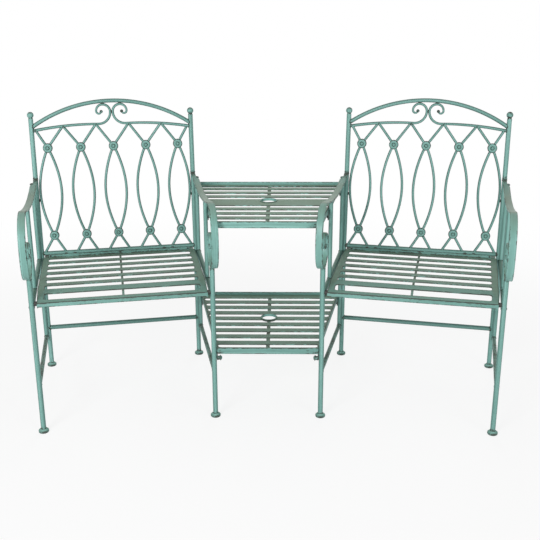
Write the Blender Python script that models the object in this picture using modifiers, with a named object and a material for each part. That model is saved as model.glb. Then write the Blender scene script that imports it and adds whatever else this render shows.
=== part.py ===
"""Garden companion seat: two metal armchairs, turned a little inward and joined by a two-tier table.

Metres, +Z up. The seat faces -Y, and the origin is on the floor under the middle of the whole.
Each chair is modelled in its own frame (x to the right, y to the back) under an empty that turns it.
The back of a chair is drawn flat in the XZ plane of a second empty, which leans it back.
"""
from math import acos, asin, ceil, cos, hypot, pi, radians, sin, sqrt, tan

import bmesh
import bpy
from mathutils import Matrix, Vector

NAME = "garden_companion_seat"

# How the two chairs stand
POST_SPACING = 0.540        # between the axes of a chair's two back posts
CHAIR_GAP = 0.535           # between the inner back posts of the two chairs, at the floor
TURN = radians(11.5)        # each chair turned inward
LEG_REACH = 0.495           # back post axis to front leg axis, at the floor

# Tube and bar sizes
POST_D = 0.016              # back posts and front legs
STAY_D = 0.014              # upright behind each armrest, with its side stretcher
SEAT_RAIL_D = 0.016
ARM_POST_D = 0.0135
ARCH_D = 0.0135
BOTTOM_RAIL_D = 0.014
STRETCHER_D = 0.0156        # between the back legs
ROD_D = 0.0088              # lattice rods
SCROLL_D = 0.0106           # scroll rail where it leaves the post
VOLUTE_D = 0.0084           # scroll rail where it turns up
CURL_D = 0.0064             # scroll rail at the end of its curl
GAP = 0.0003                # clearance at every seat

# Feet
FOOT_D = 0.032
FOOT_H = 0.012
FOOT_COLLAR_D = 0.021
FOOT_RIM_H = 0.006

# Back: heights above the floor, measured on the leaning plane
BEND_Z = 0.405              # the back posts lean from here up
RAKE = radians(5.3)
BEND_R = 0.060
ARCH_Z = 0.945              # axis of the arch at the middle
ARCH_RISE = 0.084
FINIAL_DROP = 0.0413        # middle of the ball on each post, below the arch's middle
FINIAL_D = 0.0222
NECK_D = 0.0125
NECK_L = 0.0015
BOTTOM_RAIL_Z = 0.428
STRETCHER_Z = 0.149

# Scroll rails: the rail leaves the post rising, levels out and curls up into a volute
SCROLL_RISE = radians(10.5)
SCROLL_DIP = radians(1.5)
VOLUTE_RADII = (0.0405, 0.0250, 0.0220, 0.0092)   # one for each quarter turn
VOLUTE_END_R = 0.0060
VOLUTE_END_TURN = radians(65.0)
VOLUTE_BALL_D = 0.0108

# Lattice: motifs of two crossing rods, held by a rosette at each crossing
MOTIFS = 5
UPPER_ROSETTE_DROP = 0.153  # below the arch's middle
LOWER_ROSETTE_RISE = 0.062  # above the bottom rail
BOW_HALF = 0.036            # how far a rod bows out between the rosettes
BOW_FULLNESS = 0.85         # below 1 the bow leaves its rosettes more steeply
ROD_FOOT_SPREAD = 0.037
ROD_LAP = 0.0012            # the two rods of a motif lie this far before and behind the plane
ROSETTE_D = 0.0325
ROSETTE_H = 0.0172
ROSETTE_BOSS_D = 0.012
ROSETTE_SPIN = radians(8.0)     # keeps its facets clear of the rods' edges

# Side frames: forward distances count from the back post axis towards the front
STAY_OUT = 0.009            # stay axis outward of the post axis
SIDE_STRETCHER_Z = 0.120
SIDE_STRETCHER_FRONT_Z = 0.160  # it rises towards the front leg
SEAT_RAIL_REAR_Z = 0.4065
SEAT_RAIL_FRONT_Z = 0.415
ARM_POST_FORWARD = 0.335
ARM_POST_OUT = 0.002        # arm post axis outward of the leg axis

# Armrest: a flat bar bent in a chain of arcs (radius, turn), from the post to the inner roll
ARM_WIDTH = 0.0222
ARM_SHIFT = 0.0015          # inner edge of the bar outward of the leg's inner side
ARM_THICK = 0.005
ARM_REAR_Z = 0.690
ARM_HEADING = radians(-11.5)
ARM_SADDLE_TURN = radians(24.5)
ARM_CHIN_BACK = 0.0075      # lowest point of the scroll behind the leg axis
ARM_BROW = (0.085, radians(-88.0))
ARM_FRONT = (0.165, radians(-30.0))
ARM_CHIN = (0.060, radians(-75.0))
ARM_CURL = (0.058, radians(-90.0))
ARM_ROLL_TOP = (0.044, radians(-90.0))
ARM_ROLL_FRONT = (0.024, radians(-90.0))
ARM_ROLL_END = (0.020, radians(-140.0))
ARM_STEP = radians(14.0)
SADDLE_STEP = radians(3.0)
NECK_WIDTH = 0.0138         # the bar is narrower where it meets the back post
NECK_FORWARD = 0.036        # front end of the narrow part
SHOULDER_L = 0.010

# Seat panel: pressed sheet with slots across it and a rolled front
SEAT_CLEAR = 0.008          # between the seat's side and the front leg
SEAT_FLARE = 0.011          # wider at the back than at the front, each side
SEAT_OVERHANG = 0.012       # front edge ahead of the leg axis
SEAT_SHEET = 0.003
SEAT_REAR = 0.010           # forward distance of its back edge
SEAT_REAR_Z = 0.4155        # top face at the back edge
SEAT_SLOPE = 0.068
SEAT_FRONT_SLOPE = -0.127   # last slat, last slot and front rail roll down
SEAT_LIP = 0.010
SEAT_APRON = 0.014
SEAT_SKIRT = 0.016
SKIRT_INSET = 0.0003        # skirt behind the edge of the panel
SEAT_SIDE = 0.020           # plain strip at each side
SEAT_REAR_FLANGE = 0.024
SEAT_FRONT_RAIL = 0.019
SEAT_SLATS = 6
SEAT_SLAT = 0.0305
SLOT_CORNER = 0.008
SEAT_STRAP = 0.007
STRAP_THICK = 0.003
SPACER_D = 0.010            # boss that holds the seat off the front leg
SPACER_DROP = 0.007         # its axis below the top of the seat

# Table: two trays framed by a flat bar on edge
TABLE_REAR_Y = 0.020        # rear edge of the lower tray behind the inner back posts' feet
TABLE_OVERHANG = 0.005      # its front edge ahead of the inner legs' axes
UPPER_LONGER = (0.008, 0.010)   # the upper tray reaches further, at its back and its front
UPPER_DROP = 0.0355         # top edge of the upper frame below the back end of the arms
LOWER_TOP_Z = 0.2405        # top edge of the lower frame
TABLE_BAR_H = 0.020
TABLE_BAR_T = 0.003
TABLE_LIP = 0.010           # frame above the slats
TABLE_SHEET = 0.003
TABLE_SIDE = 0.006
UPPER_FLANGES = (0.0203, 0.0415)    # sheet behind the first slot and ahead of the last
LOWER_FLANGES = (0.0365, 0.0275)
TABLE_SLATS = 8
TABLE_SLAT = 0.029
TABLE_STRAP = 0.012
TAB_AHEAD = 0.004           # ears below the frame, bolted to the uprights: ahead of the upright's axis
TAB_BEHIND = 0.010
TAB_DROP = 0.022
TAB_INSET = 0.0005          # from both sides of the frame's bar
RING_SLAT = 4               # the parasol rings go through this slat, counted from the back
RING_D = 0.058
RING_BODY_D = 0.054
RING_BORE_D = 0.050
RING_FLANGE_H = 0.002
RING_DROP = 0.003           # below the slats' underside

# Facets
MERGE = 1e-6                # points nearer than this are one
TUBE_STEPS = 10             # sides of a tube
ROD_STEPS = 8
TURN_STEPS = 14
RING_STEPS = 20
ROSETTE_STEPS = 12

POST_R = POST_D / 2
HALF = POST_SPACING / 2
FINIAL_Z = ARCH_Z - FINIAL_DROP
UPPER_ROSETTE_Z = ARCH_Z - UPPER_ROSETTE_DROP
LOWER_ROSETTE_Z = BOTTOM_RAIL_Z + LOWER_ROSETTE_RISE
ROD_R = ROD_D / 2
LOWER_ENDS = (TABLE_REAR_Y, -LEG_REACH * cos(TURN) - TABLE_OVERHANG)
UPPER_ENDS = (LOWER_ENDS[0] + UPPER_LONGER[0], LOWER_ENDS[1] - UPPER_LONGER[1])
UPPER_TOP_Z = ARM_REAR_Z - UPPER_DROP
STAY_FORWARD = sqrt((POST_R + STAY_D / 2 + GAP) ** 2 - STAY_OUT ** 2)
ARM_INNER = HALF - POST_R + ARM_SHIFT
LATTICE_PITCH = 2 * (HALF - POST_R - ROD_R - GAP - BOW_HALF) / (MOTIFS - 1)


def up(height):
    """Distance along the leaning plane from the bend to a height above the floor."""
    return (height - BEND_Z) / cos(RAKE)


def clear_scene():
    for old in list(bpy.data.objects):
        bpy.data.objects.remove(old, do_unlink=True)


def new_collection(name):
    collection = bpy.data.collections.new(name)
    bpy.context.scene.collection.children.link(collection)
    return collection


def paint(name, colour, roughness):
    material = bpy.data.materials.new(name)
    material.use_nodes = True
    shader = material.node_tree.nodes["Principled BSDF"]
    shader.inputs["Base Color"].default_value = (*colour, 1.0)
    shader.inputs["Roughness"].default_value = roughness
    shader.inputs["Metallic"].default_value = 0.35
    return material


def empty(name, parent=None, location=(0, 0, 0), rotation=(0, 0, 0)):
    holder = bpy.data.objects.new(name, None)
    holder.parent = parent
    holder.location = location
    holder.rotation_euler = rotation
    PARTS.objects.link(holder)
    return holder


def pulled_verts(bm):
    """Pulls a chain of edges into a strip, and gives the new row of points in the chain's order."""
    grown = bmesh.ops.extrude_edge_only(bm, edges=bm.edges[:])["geom"]
    verts = [item for item in grown if isinstance(item, bmesh.types.BMVert)]
    return sorted(verts, key=lambda vert: vert.index)


def chain(bm, points):
    """Points joined in a row by edges."""
    verts = [bm.verts.new(point) for point in points]
    for first, second in zip(verts, verts[1:]):
        bm.edges.new((first, second))


def from_bmesh(bm):
    """Loose working object made from a bmesh."""
    bmesh.ops.recalc_face_normals(bm, faces=bm.faces)
    mesh = bpy.data.meshes.new("piece")
    bm.to_mesh(mesh)
    bm.free()
    piece = bpy.data.objects.new("piece", mesh)
    piece.display_type = 'WIRE'
    piece.hide_render = True
    TOOLS.objects.link(piece)
    return piece


def bake(piece):
    """Replaces an object's mesh with its evaluated one, and drops the modifiers."""
    bpy.context.view_layer.update()
    graph = bpy.context.evaluated_depsgraph_get()
    mesh = bpy.data.meshes.new_from_object(piece.evaluated_get(graph))
    piece.modifiers.clear()
    piece.data = mesh
    return piece


def boolean(piece, tools, operation):
    for tool in tools:
        modifier = piece.modifiers.new(operation.lower(), 'BOOLEAN')
        modifier.operation = operation
        modifier.solver = 'EXACT'
        modifier.object = tool
    bake(piece)
    for tool in tools:
        bpy.data.objects.remove(tool, do_unlink=True)
    bm = bmesh.new()
    bm.from_mesh(piece.data)
    bmesh.ops.remove_doubles(bm, verts=bm.verts, dist=MERGE)
    bm.to_mesh(piece.data)
    bm.free()
    return piece


def join(piece, *others):
    return boolean(piece, others, 'UNION')


def cut(piece, *cutters):
    return boolean(piece, cutters, 'DIFFERENCE')


def tube(points, radius, steps=TUBE_STEPS, factors=None):
    """Round bar along a path: a bevelled curve with capped ends, made a closed mesh."""
    curve = bpy.data.curves.new("path", 'CURVE')
    curve.dimensions = '3D'
    curve.bevel_depth = radius
    curve.bevel_resolution = (steps - 4) // 2
    curve.use_fill_caps = True
    spline = curve.splines.new('POLY')
    spline.points.add(len(points) - 1)
    for index, point in enumerate(points):
        spline.points[index].co = (*point, 1.0)
        spline.points[index].radius = factors[index] if factors else 1.0
    path = bpy.data.objects.new("path", curve)
    TOOLS.objects.link(path)
    bpy.context.view_layer.update()
    graph = bpy.context.evaluated_depsgraph_get()
    mesh = bpy.data.meshes.new_from_object(path.evaluated_get(graph))
    bpy.data.objects.remove(path, do_unlink=True)
    bm = bmesh.new()
    bm.from_mesh(mesh)
    bpy.data.meshes.remove(mesh)
    bmesh.ops.remove_doubles(bm, verts=bm.verts, dist=MERGE)
    return from_bmesh(bm)


def turned(profile, steps=TURN_STEPS):
    """Turned piece about its own Z axis, from a profile that runs down its outer side."""
    mesh = bpy.data.meshes.new("profile")
    edges = [(index, index + 1) for index in range(len(profile) - 1)]
    mesh.from_pydata([(radius, 0, height) for radius, height in profile], edges, [])
    piece = bpy.data.objects.new("turned", mesh)
    TOOLS.objects.link(piece)
    screw = piece.modifiers.new("turn", 'SCREW')
    screw.steps = screw.render_steps = steps
    screw.use_merge_vertices = True
    screw.merge_threshold = MERGE
    bake(piece)
    bm = bmesh.new()
    bm.from_mesh(piece.data)
    bpy.data.objects.remove(piece, do_unlink=True)
    bmesh.ops.remove_doubles(bm, verts=bm.verts, dist=MERGE)
    return from_bmesh(bm)


def box(low, high):
    bm = bmesh.new()
    bmesh.ops.create_cube(bm, size=1.0)
    size = Vector(high) - Vector(low)
    bmesh.ops.scale(bm, vec=size, verts=bm.verts)
    bmesh.ops.translate(bm, vec=(Vector(low) + Vector(high)) / 2, verts=bm.verts)
    return from_bmesh(bm)


def prism(outline, low, high, corner=0.0):
    """Upright prism on a plan outline, its corners rounded."""
    bm = bmesh.new()
    base = bm.faces.new([bm.verts.new((x, y, low)) for x, y in outline])
    if corner:
        bmesh.ops.bevel(bm, geom=list(base.verts), offset=corner, offset_type='OFFSET', segments=3,
                        profile=0.5, affect='VERTICES', material=-1)
    grown = bmesh.ops.extrude_face_region(bm, geom=list(bm.faces))["geom"]
    bmesh.ops.translate(bm, vec=(0, 0, high - low),
                        verts=[item for item in grown if isinstance(item, bmesh.types.BMVert)])
    return from_bmesh(bm)


def arc_chain(start, heading, arcs, step, least=2):
    """Points of a flat path of tangent arcs. A positive turn is to the left."""
    points = [Vector(start)]
    for radius, turn in arcs:
        side = 1 if turn > 0 else -1
        centre = points[-1] + side * radius * Vector((-sin(heading), cos(heading)))
        count = max(least, ceil(abs(turn) / step))
        for index in range(1, count + 1):
            angle = heading + turn * index / count
            points.append(centre + side * radius * Vector((sin(angle), -cos(angle))))
        heading += turn
    return points


def finish(piece, name, parent, material, location=(0, 0, 0), rotation=(0, 0, 0)):
    """Names a working object, and places it as a part of the seat."""
    TOOLS.objects.unlink(piece)
    PARTS.objects.link(piece)
    piece.name = piece.data.name = name
    piece.display_type = 'TEXTURED'
    piece.hide_render = False
    piece.parent = parent
    piece.location = location
    piece.rotation_euler = rotation
    piece.data.materials.clear()
    piece.data.materials.append(material)
    piece.data.shade_smooth()
    piece.data.set_sharp_from_angle(angle=radians(40))
    return piece


# Pieces of the back, drawn in the leaning plane

def post_cutters():
    """Room for the two back posts, in the leaning plane."""
    reach = up(FINIAL_Z)
    return [tube([(side * HALF, 0, -reach), (side * HALF, 0, reach)], POST_R + GAP) for side in (-1, 1)]


def arch_height(x):
    """Axis of the arch in the leaning plane: a circle through its apex and its two ends."""
    radius = (HALF ** 2 + ARCH_RISE ** 2) / (2 * ARCH_RISE)
    return up(ARCH_Z) - radius + sqrt(radius ** 2 - x ** 2)


def arch_rail():
    count = 18
    xs = [HALF * sin(pi / 2 * (2 * index / count - 1)) for index in range(count + 1)]
    return cut(tube([(x, 0, arch_height(x)) for x in xs], ARCH_D / 2), *post_cutters())


def scroll_path():
    """Scroll rail of the right side as (distance from the post axis, height) points."""
    first, second = VOLUTE_RADII[:2]
    contact = VOLUTE_D / 2 + GAP / 2
    run = HALF - contact - first * (1 + sin(SCROLL_DIP))
    sweep = run / (sin(SCROLL_RISE) + sin(SCROLL_DIP))
    top = arch_height(contact + second) - ARCH_D / 2 - VOLUTE_D / 2 - GAP
    climb = sweep * (cos(SCROLL_DIP) - cos(SCROLL_RISE)) + first * cos(SCROLL_DIP) + second
    quarter = pi / 2
    arcs = [(sweep, -SCROLL_RISE - SCROLL_DIP), (first, quarter + SCROLL_DIP)]
    arcs += [(radius, quarter) for radius in VOLUTE_RADII[1:]]
    arcs.append((VOLUTE_END_R, VOLUTE_END_TURN))
    return arc_chain((0, top - climb), SCROLL_RISE, arcs, step=radians(24.0), least=4)


def scroll_tube(side, grow=0.0):
    """One scroll rail: it thins towards the volute, and its end is a small ball."""
    path = scroll_path()
    straight = HALF - VOLUTE_D / 2 - VOLUTE_RADII[0]
    taper = (SCROLL_D - VOLUTE_D) / 2
    radii = [SCROLL_D / 2 - taper * min(1.0, max(0.0, point.x) / straight) for point in path]
    crest = max(range(len(path)), key=lambda index: path[index].y)
    for index in range(crest, len(path)):
        radii[index] += (CURL_D - VOLUTE_D) / 2 * (index - crest) / (len(path) - 1 - crest)
    heading = (path[-1] - path[-2]).normalized()
    ball = VOLUTE_BALL_D / 2
    tip = path.pop()
    radii.pop()
    start = -acos(CURL_D / VOLUTE_BALL_D)
    for index in range(6):
        angle = start + (radians(80) - start) * index / 5
        path.append(tip + heading * ball * (sin(angle) - sin(start)))
        radii.append(ball * cos(angle))
    points = [(side * (HALF - point.x), 0, point.y) for point in path]
    return tube(points, 1.0, ROD_STEPS, [radius + grow for radius in radii])


def scroll_rail(side):
    return cut(scroll_tube(side), *post_cutters())


def bottom_rail_cutter():
    height = up(BOTTOM_RAIL_Z)
    return tube([(-POST_SPACING, 0, height), (POST_SPACING, 0, height)], BOTTOM_RAIL_D / 2 + GAP)


def bottom_rail():
    height = up(BOTTOM_RAIL_Z)
    return cut(tube([(-HALF, 0, height), (HALF, 0, height)], BOTTOM_RAIL_D / 2), *post_cutters())


def lattice_rod(middle, lean, spread):
    """One rod of a motif: it crosses the other at both rosettes and bows out between them."""
    high, low = up(UPPER_ROSETTE_Z), up(LOWER_ROSETTE_Z)
    count = 8
    bow = [(-lean * BOW_HALF * sin(pi * index / count) ** BOW_FULLNESS, high + (low - high) * index / count)
           for index in range(count + 1)]
    reach = abs(middle + lean * spread)
    before, after = next((first, second) for first, second in zip(scroll_path(), scroll_path()[1:])
                         if second.x >= HALF - reach)
    top = before.lerp(after, (HALF - reach - before.x) / (after.x - before.x)).y
    outline = [(lean * spread, top), *bow, (lean * ROD_FOOT_SPREAD, up(BOTTOM_RAIL_Z))]
    return tube([(middle + x, lean * ROD_LAP, z) for x, z in outline], ROD_R, ROD_STEPS)


def rosette(middle, height):
    radius, boss, half = ROSETTE_D / 2, ROSETTE_BOSS_D / 2, ROSETTE_H / 2
    rim, groove = half * 0.5, half * 0.7
    face = [(0, half), (boss * 0.7, half * 0.92), (boss, groove), (radius * 0.82, half * 0.8), (radius, rim)]
    piece = turned([*face, (radius, -rim), (radius * 0.8, -half), (0, -half)], ROSETTE_STEPS)
    facing = Matrix.Rotation(pi / 2, 4, 'X') @ Matrix.Rotation(ROSETTE_SPIN, 4, 'Z')
    piece.data.transform(Matrix.Translation((middle, 0, height)) @ facing)
    return piece


def lattice_motif(index):
    """Two crossing rods and their two rosettes, fitted between the scroll rails and the bottom rail."""
    place = index - (MOTIFS - 1) / 2
    middle = place * LATTICE_PITCH
    reach = LATTICE_PITCH / 2
    spreads = {lean: BOW_HALF if place * lean == (MOTIFS - 1) / 2 else reach for lean in (-1, 1)}
    rods = [lattice_rod(middle, lean, spreads[lean]) for lean in (-1, 1)]
    motif = join(rods[0], rods[1], rosette(middle, up(UPPER_ROSETTE_Z)), rosette(middle, up(LOWER_ROSETTE_Z)))
    side = LATTICE_PITCH
    bounds = [box((middle + lean * reach - GAP / 2 if lean > 0 else middle - reach - side, -side, -side),
                  (middle + reach + side if lean > 0 else middle - reach + GAP / 2, side, up(ARCH_Z)))
              for lean in (-1, 1)]
    return cut(motif, *bounds, scroll_tube(-1, GAP), scroll_tube(1, GAP), bottom_rail_cutter())


# Pieces of the chair, drawn upright

def back_post(side):
    """Bent tube from the foot to the ball finial."""
    axis = Vector((0, sin(RAKE), cos(RAKE)))
    bend = Vector((side * HALF, 0, BEND_Z))
    ease = BEND_R * tan(RAKE / 2)
    ball = bend + axis * up(FINIAL_Z)
    radius = FINIAL_D / 2
    start = -acos(NECK_D / FINIAL_D)
    neck = ball + axis * radius * sin(start)
    points = [Vector((side * HALF, 0, FOOT_H + GAP)), bend - Vector((0, 0, ease)), bend + axis * ease,
              neck - axis * NECK_L, neck - axis * NECK_L * 0.8]
    radii = [POST_R, POST_R, POST_R, POST_R, NECK_D / 2]
    for index in range(7):
        angle = start + (radians(80) - start) * index / 6
        points.append(ball + axis * radius * sin(angle))
        radii.append(radius * cos(angle))
    return tube(points, 1.0, TUBE_STEPS, radii)


def foot():
    collar, rim = FOOT_COLLAR_D / 2, FOOT_D / 2
    return turned([(0, FOOT_H), (collar, FOOT_H), (rim * 0.9, FOOT_RIM_H * 1.3), (rim, FOOT_RIM_H),
                   (rim, FOOT_RIM_H * 0.25), (rim * 0.94, 0), (0, 0)])


def rear_stretcher():
    cutters = [tube([(side * HALF, 0, 0), (side * HALF, 0, BEND_Z)], POST_R + GAP) for side in (-1, 1)]
    return cut(tube([(-HALF, 0, STRETCHER_Z), (HALF, 0, STRETCHER_Z)], STRETCHER_D / 2), *cutters)


def saddle_path():
    """Back stretch of the armrest, from the post axis to its brow: it spans what the scroll leaves."""
    rear = -(ARM_REAR_Z - BEND_Z) * tan(RAKE)
    heading = ARM_HEADING + ARM_SADDLE_TURN
    scroll = arc_chain((0, 0), heading, [ARM_BROW, ARM_FRONT, ARM_CHIN], ARM_STEP)[-1].x
    run = LEG_REACH - ARM_CHIN_BACK - scroll - rear
    radius = run / (sin(heading) - sin(ARM_HEADING))
    return arc_chain((rear, ARM_REAR_Z), ARM_HEADING, [(radius, ARM_SADDLE_TURN)], SADDLE_STEP)


def scroll_front():
    """Front stretch of the armrest, from its brow round to the inner roll."""
    arcs = [ARM_BROW, ARM_FRONT, ARM_CHIN, ARM_CURL, ARM_ROLL_TOP, ARM_ROLL_FRONT, ARM_ROLL_END]
    return arc_chain(saddle_path()[-1], ARM_HEADING + ARM_SADDLE_TURN, arcs, ARM_STEP)


def arm_path():
    """Side view of the armrest as (forward, height) points."""
    return saddle_path() + scroll_front()[1:]


def arm_width(forward, travelled):
    """Width of the bar: a neck behind, a rounded shoulder, then the full band."""
    if travelled > NECK_FORWARD + LEG_REACH / 2:
        return ARM_WIDTH
    share = min(1.0, max(0.0, (forward - NECK_FORWARD) / SHOULDER_L))
    return NECK_WIDTH + (ARM_WIDTH - NECK_WIDTH) * sqrt(1 - (1 - share) ** 2)


def arm_bar(side, grow=0.0, inward=0.0):
    """The armrest's bent flat bar: its side view pulled across, then given its thickness.

    As a cutter it grows all round, and inward makes it wider on the side of the seat.
    """
    path = arm_path()
    shoulder = [NECK_FORWARD + SHOULDER_L * share for share in (0.0, 0.08, 0.3, 0.6, 1.0)]
    for forward in shoulder:
        index = next(place for place, point in enumerate(path) if point.x > forward)
        before, after = path[index - 1], path[index]
        share = (forward - before.x) / (after.x - before.x)
        path.insert(index, before.lerp(after, share))
    bm = bmesh.new()
    chain(bm, [(side * (ARM_INNER - grow - inward), -point.x, point.y) for point in path])
    travelled = 0.0
    for index, vert in enumerate(pulled_verts(bm)):
        if index:
            travelled += (path[index] - path[index - 1]).length
        vert.co.x += side * (arm_width(path[index].x, travelled) + 2 * grow + inward)
    bar = from_bmesh(bm)
    wall = bar.modifiers.new("thickness", 'SOLIDIFY')
    wall.thickness = ARM_THICK + 2 * grow
    wall.offset = 0.0
    return bake(bar)


def armrest(side):
    axis = Vector((0, sin(RAKE), cos(RAKE)))
    bend = Vector((side * HALF, 0, BEND_Z))
    return cut(arm_bar(side), tube([bend, bend + axis * up(FINIAL_Z)], POST_R + GAP))


def leg_cutter(side):
    return tube([(side * HALF, -LEG_REACH, 0), (side * HALF, -LEG_REACH, ARM_REAR_Z)], POST_R + GAP)


def saddle_height(forward):
    """Middle of the bar's thickness above a forward distance."""
    path = saddle_path()
    before, after = next(pair for pair in zip(path, path[1:]) if pair[1].x >= forward)
    return before.lerp(after, (forward - before.x) / (after.x - before.x)).y


def front_leg(side):
    """Upright leg, coped under the bottom of the armrest's scroll."""
    low = min(point.y for point in scroll_front())
    points = [(side * HALF, -LEG_REACH, FOOT_H + GAP), (side * HALF, -LEG_REACH, low)]
    return cut(tube(points, POST_R), arm_bar(side, GAP, ARM_SHIFT))


def seat_rail_height(forward):
    share = (forward - STAY_FORWARD) / (LEG_REACH - STAY_FORWARD)
    return SEAT_RAIL_REAR_Z + (SEAT_RAIL_FRONT_Z - SEAT_RAIL_REAR_Z) * share


def seat_rail_tube(side, grow=0.0):
    rear = (side * (HALF + STAY_OUT), -STAY_FORWARD, SEAT_RAIL_REAR_Z)
    front = (side * HALF, -LEG_REACH, SEAT_RAIL_FRONT_Z)
    return tube([rear, front], SEAT_RAIL_D / 2 + grow)


def seat_rail(side):
    foot_point = (side * (HALF + STAY_OUT), -STAY_FORWARD, 0)
    stay = tube([foot_point, (*foot_point[:2], ARM_REAR_Z)], STAY_D / 2 + GAP)
    return cut(seat_rail_tube(side), stay, leg_cutter(side))


def side_stay(side):
    """Upright behind the arm with the stretcher that runs forward from its foot to the front leg."""
    x, y = side * (HALF + STAY_OUT), -STAY_FORWARD
    top = saddle_height(STAY_FORWARD)
    upright = tube([(x, y, SIDE_STRETCHER_Z - STAY_D / 2), (x, y, top)], STAY_D / 2)
    runner = tube([(x, y, SIDE_STRETCHER_Z), (side * HALF, -LEG_REACH, SIDE_STRETCHER_FRONT_Z)], STAY_D * 0.49)
    return cut(join(upright, runner), arm_bar(side, GAP), leg_cutter(side))


def arm_post(side):
    x, y = side * (HALF + ARM_POST_OUT), -ARM_POST_FORWARD
    top = saddle_height(ARM_POST_FORWARD)
    post = tube([(x, y, seat_rail_height(ARM_POST_FORWARD)), (x, y, top)], ARM_POST_D / 2)
    return cut(post, arm_bar(side, GAP), seat_rail_tube(side, GAP))


# Pressed sheets with slots

def sheet_between(rows, thickness, facing):
    """Sheet pulled from one row of points to another. Its thickness lies behind its facing side."""
    bm = bmesh.new()
    chain(bm, rows[0])
    for vert, point in zip(pulled_verts(bm), rows[1]):
        vert.co = point
    sheet = from_bmesh(bm)
    ahead = sum(face.normal.dot(Vector(facing)) for face in sheet.data.polygons) > 0
    wall = sheet.modifiers.new("thickness", 'SOLIDIFY')
    wall.thickness = thickness
    wall.offset = -1.0 if ahead else 1.0
    wall.use_even_offset = True
    return bake(sheet)


def seat_slots():
    """Back and front forward distances of each slot: they share the depth that the slats leave."""
    first = SEAT_REAR + SEAT_REAR_FLANGE
    last = LEG_REACH + SEAT_OVERHANG - SEAT_FRONT_RAIL
    slot = (last - first - SEAT_SLATS * SEAT_SLAT) / (SEAT_SLATS + 1)
    starts = [first + (slot + SEAT_SLAT) * index for index in range(SEAT_SLATS + 1)]
    return [(start, start + slot) for start in starts]


def seat_height(forward):
    """Top face of the seat: a plane that rises to the last slat and rolls down from there."""
    roll = seat_slots()[-2][1]
    rise = SEAT_SLOPE * (min(forward, roll) - SEAT_REAR)
    return SEAT_REAR_Z + rise + SEAT_FRONT_SLOPE * max(0.0, forward - roll)


def seat_half(forward):
    """Half width of the seat, which is a little wider at the back."""
    front = LEG_REACH + SEAT_OVERHANG
    return HALF - POST_R - SEAT_CLEAR + SEAT_FLARE * (front - forward) / (front - SEAT_REAR)


def seat_panel():
    roll = seat_slots()[-2][1]
    front = LEG_REACH + SEAT_OVERHANG

    profile = [(SEAT_REAR, seat_height(SEAT_REAR) + SEAT_LIP)]
    profile += [(forward, seat_height(forward)) for forward in (SEAT_REAR, roll, front)]
    profile.append((front, seat_height(front) - SEAT_APRON))
    rows = [[(side * seat_half(forward), -forward, z) for forward, z in profile] for side in (-1, 1)]
    panel = sheet_between(rows, SEAT_SHEET, (0, 0, 1))
    low, high = SEAT_REAR_Z - SEAT_APRON, seat_height(roll) + SEAT_LIP
    slots = []
    for near, far in seat_slots():
        ends = [seat_half(forward) - SEAT_SIDE for forward in (far, near)]
        outline = [(-ends[0], -far), (ends[0], -far), (ends[1], -near), (-ends[1], -near)]
        slots.append(prism(outline, low, high, SLOT_CORNER))
    cut(panel, *slots)

    middle = SEAT_SHEET / 2
    spine = (SEAT_REAR + middle, roll, front - middle)
    rows = [[(side * SEAT_STRAP / 2, -forward, seat_height(forward) - middle) for forward in spine]
            for side in (-1, 1)]
    additions = [sheet_between(rows, middle + STRAP_THICK, (0, 0, 1))]
    for side in (-1, 1):
        rows = [[(side * (seat_half(forward) - SKIRT_INSET), -forward, seat_height(forward) - drop)
                 for forward in spine] for drop in (middle, SEAT_SKIRT)]
        additions.append(sheet_between(rows, SEAT_SHEET, (side, 0, 0)))
        height = seat_height(LEG_REACH) - SPACER_DROP
        ends = [(side * across, -LEG_REACH, height) for across in (seat_half(LEG_REACH) - middle, HALF)]
        additions.append(tube(ends, SPACER_D / 2))
    return cut(join(panel, *additions), leg_cutter(-1), leg_cutter(1))


# The table

def chair_point(forward, out):
    """World place of a point on the inner side of the right chair, before the whole is centred."""
    along, across = forward, -out
    x = CHAIR_GAP / 2 + across * cos(TURN) - along * sin(TURN)
    return Vector((x, -across * sin(TURN) - along * cos(TURN)))


def table_side(holders):
    """Straight side of a tray that just clears two upright tubes: half width as a line in y."""
    (first, first_r), (second, second_r) = holders
    lean = asin((first.x - second.x) / hypot(*(first - second)))
    points = [Vector((point.x - (radius + GAP) / cos(lean), point.y)) for point, radius in holders]
    slope = (points[0].x - points[1].x) / (points[0].y - points[1].y)
    return lambda y, inset=0.0: points[0].x + slope * (y - points[0].y) - inset / cos(lean)


def table_holders(front_forward, front_out, front_d):
    stay = chair_point(STAY_FORWARD, STAY_OUT)
    return [(stay, STAY_D / 2), (chair_point(front_forward, front_out), front_d / 2)]


def tray_outline(half_width, ends, inset):
    rear, front = ends[0] - inset, ends[1] + inset
    return [(-half_width(rear, inset), rear), (half_width(rear, inset), rear),
            (half_width(front, inset), front), (-half_width(front, inset), front)]


def tray_slots(ends, flanges):
    """Back and front y of each slot of a tray: they share the depth that the slats leave."""
    rear, front = ends[0] - TABLE_BAR_T - flanges[0], ends[1] + TABLE_BAR_T + flanges[1]
    slot = (rear - front - TABLE_SLATS * TABLE_SLAT) / (TABLE_SLATS + 1)
    starts = [rear - index * (slot + TABLE_SLAT) for index in range(TABLE_SLATS + 1)]
    return [(start, start - slot) for start in starts]


def ring_y():
    """Both parasol rings share one axis, midway between the same slat of the two trays."""
    middles = []
    for ends, flanges in ((UPPER_ENDS, UPPER_FLANGES), (LOWER_ENDS, LOWER_FLANGES)):
        slots = tray_slots(ends, flanges)
        middles.append((slots[RING_SLAT - 1][1] + slots[RING_SLAT][0]) / 2)
    return sum(middles) / 2


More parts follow.
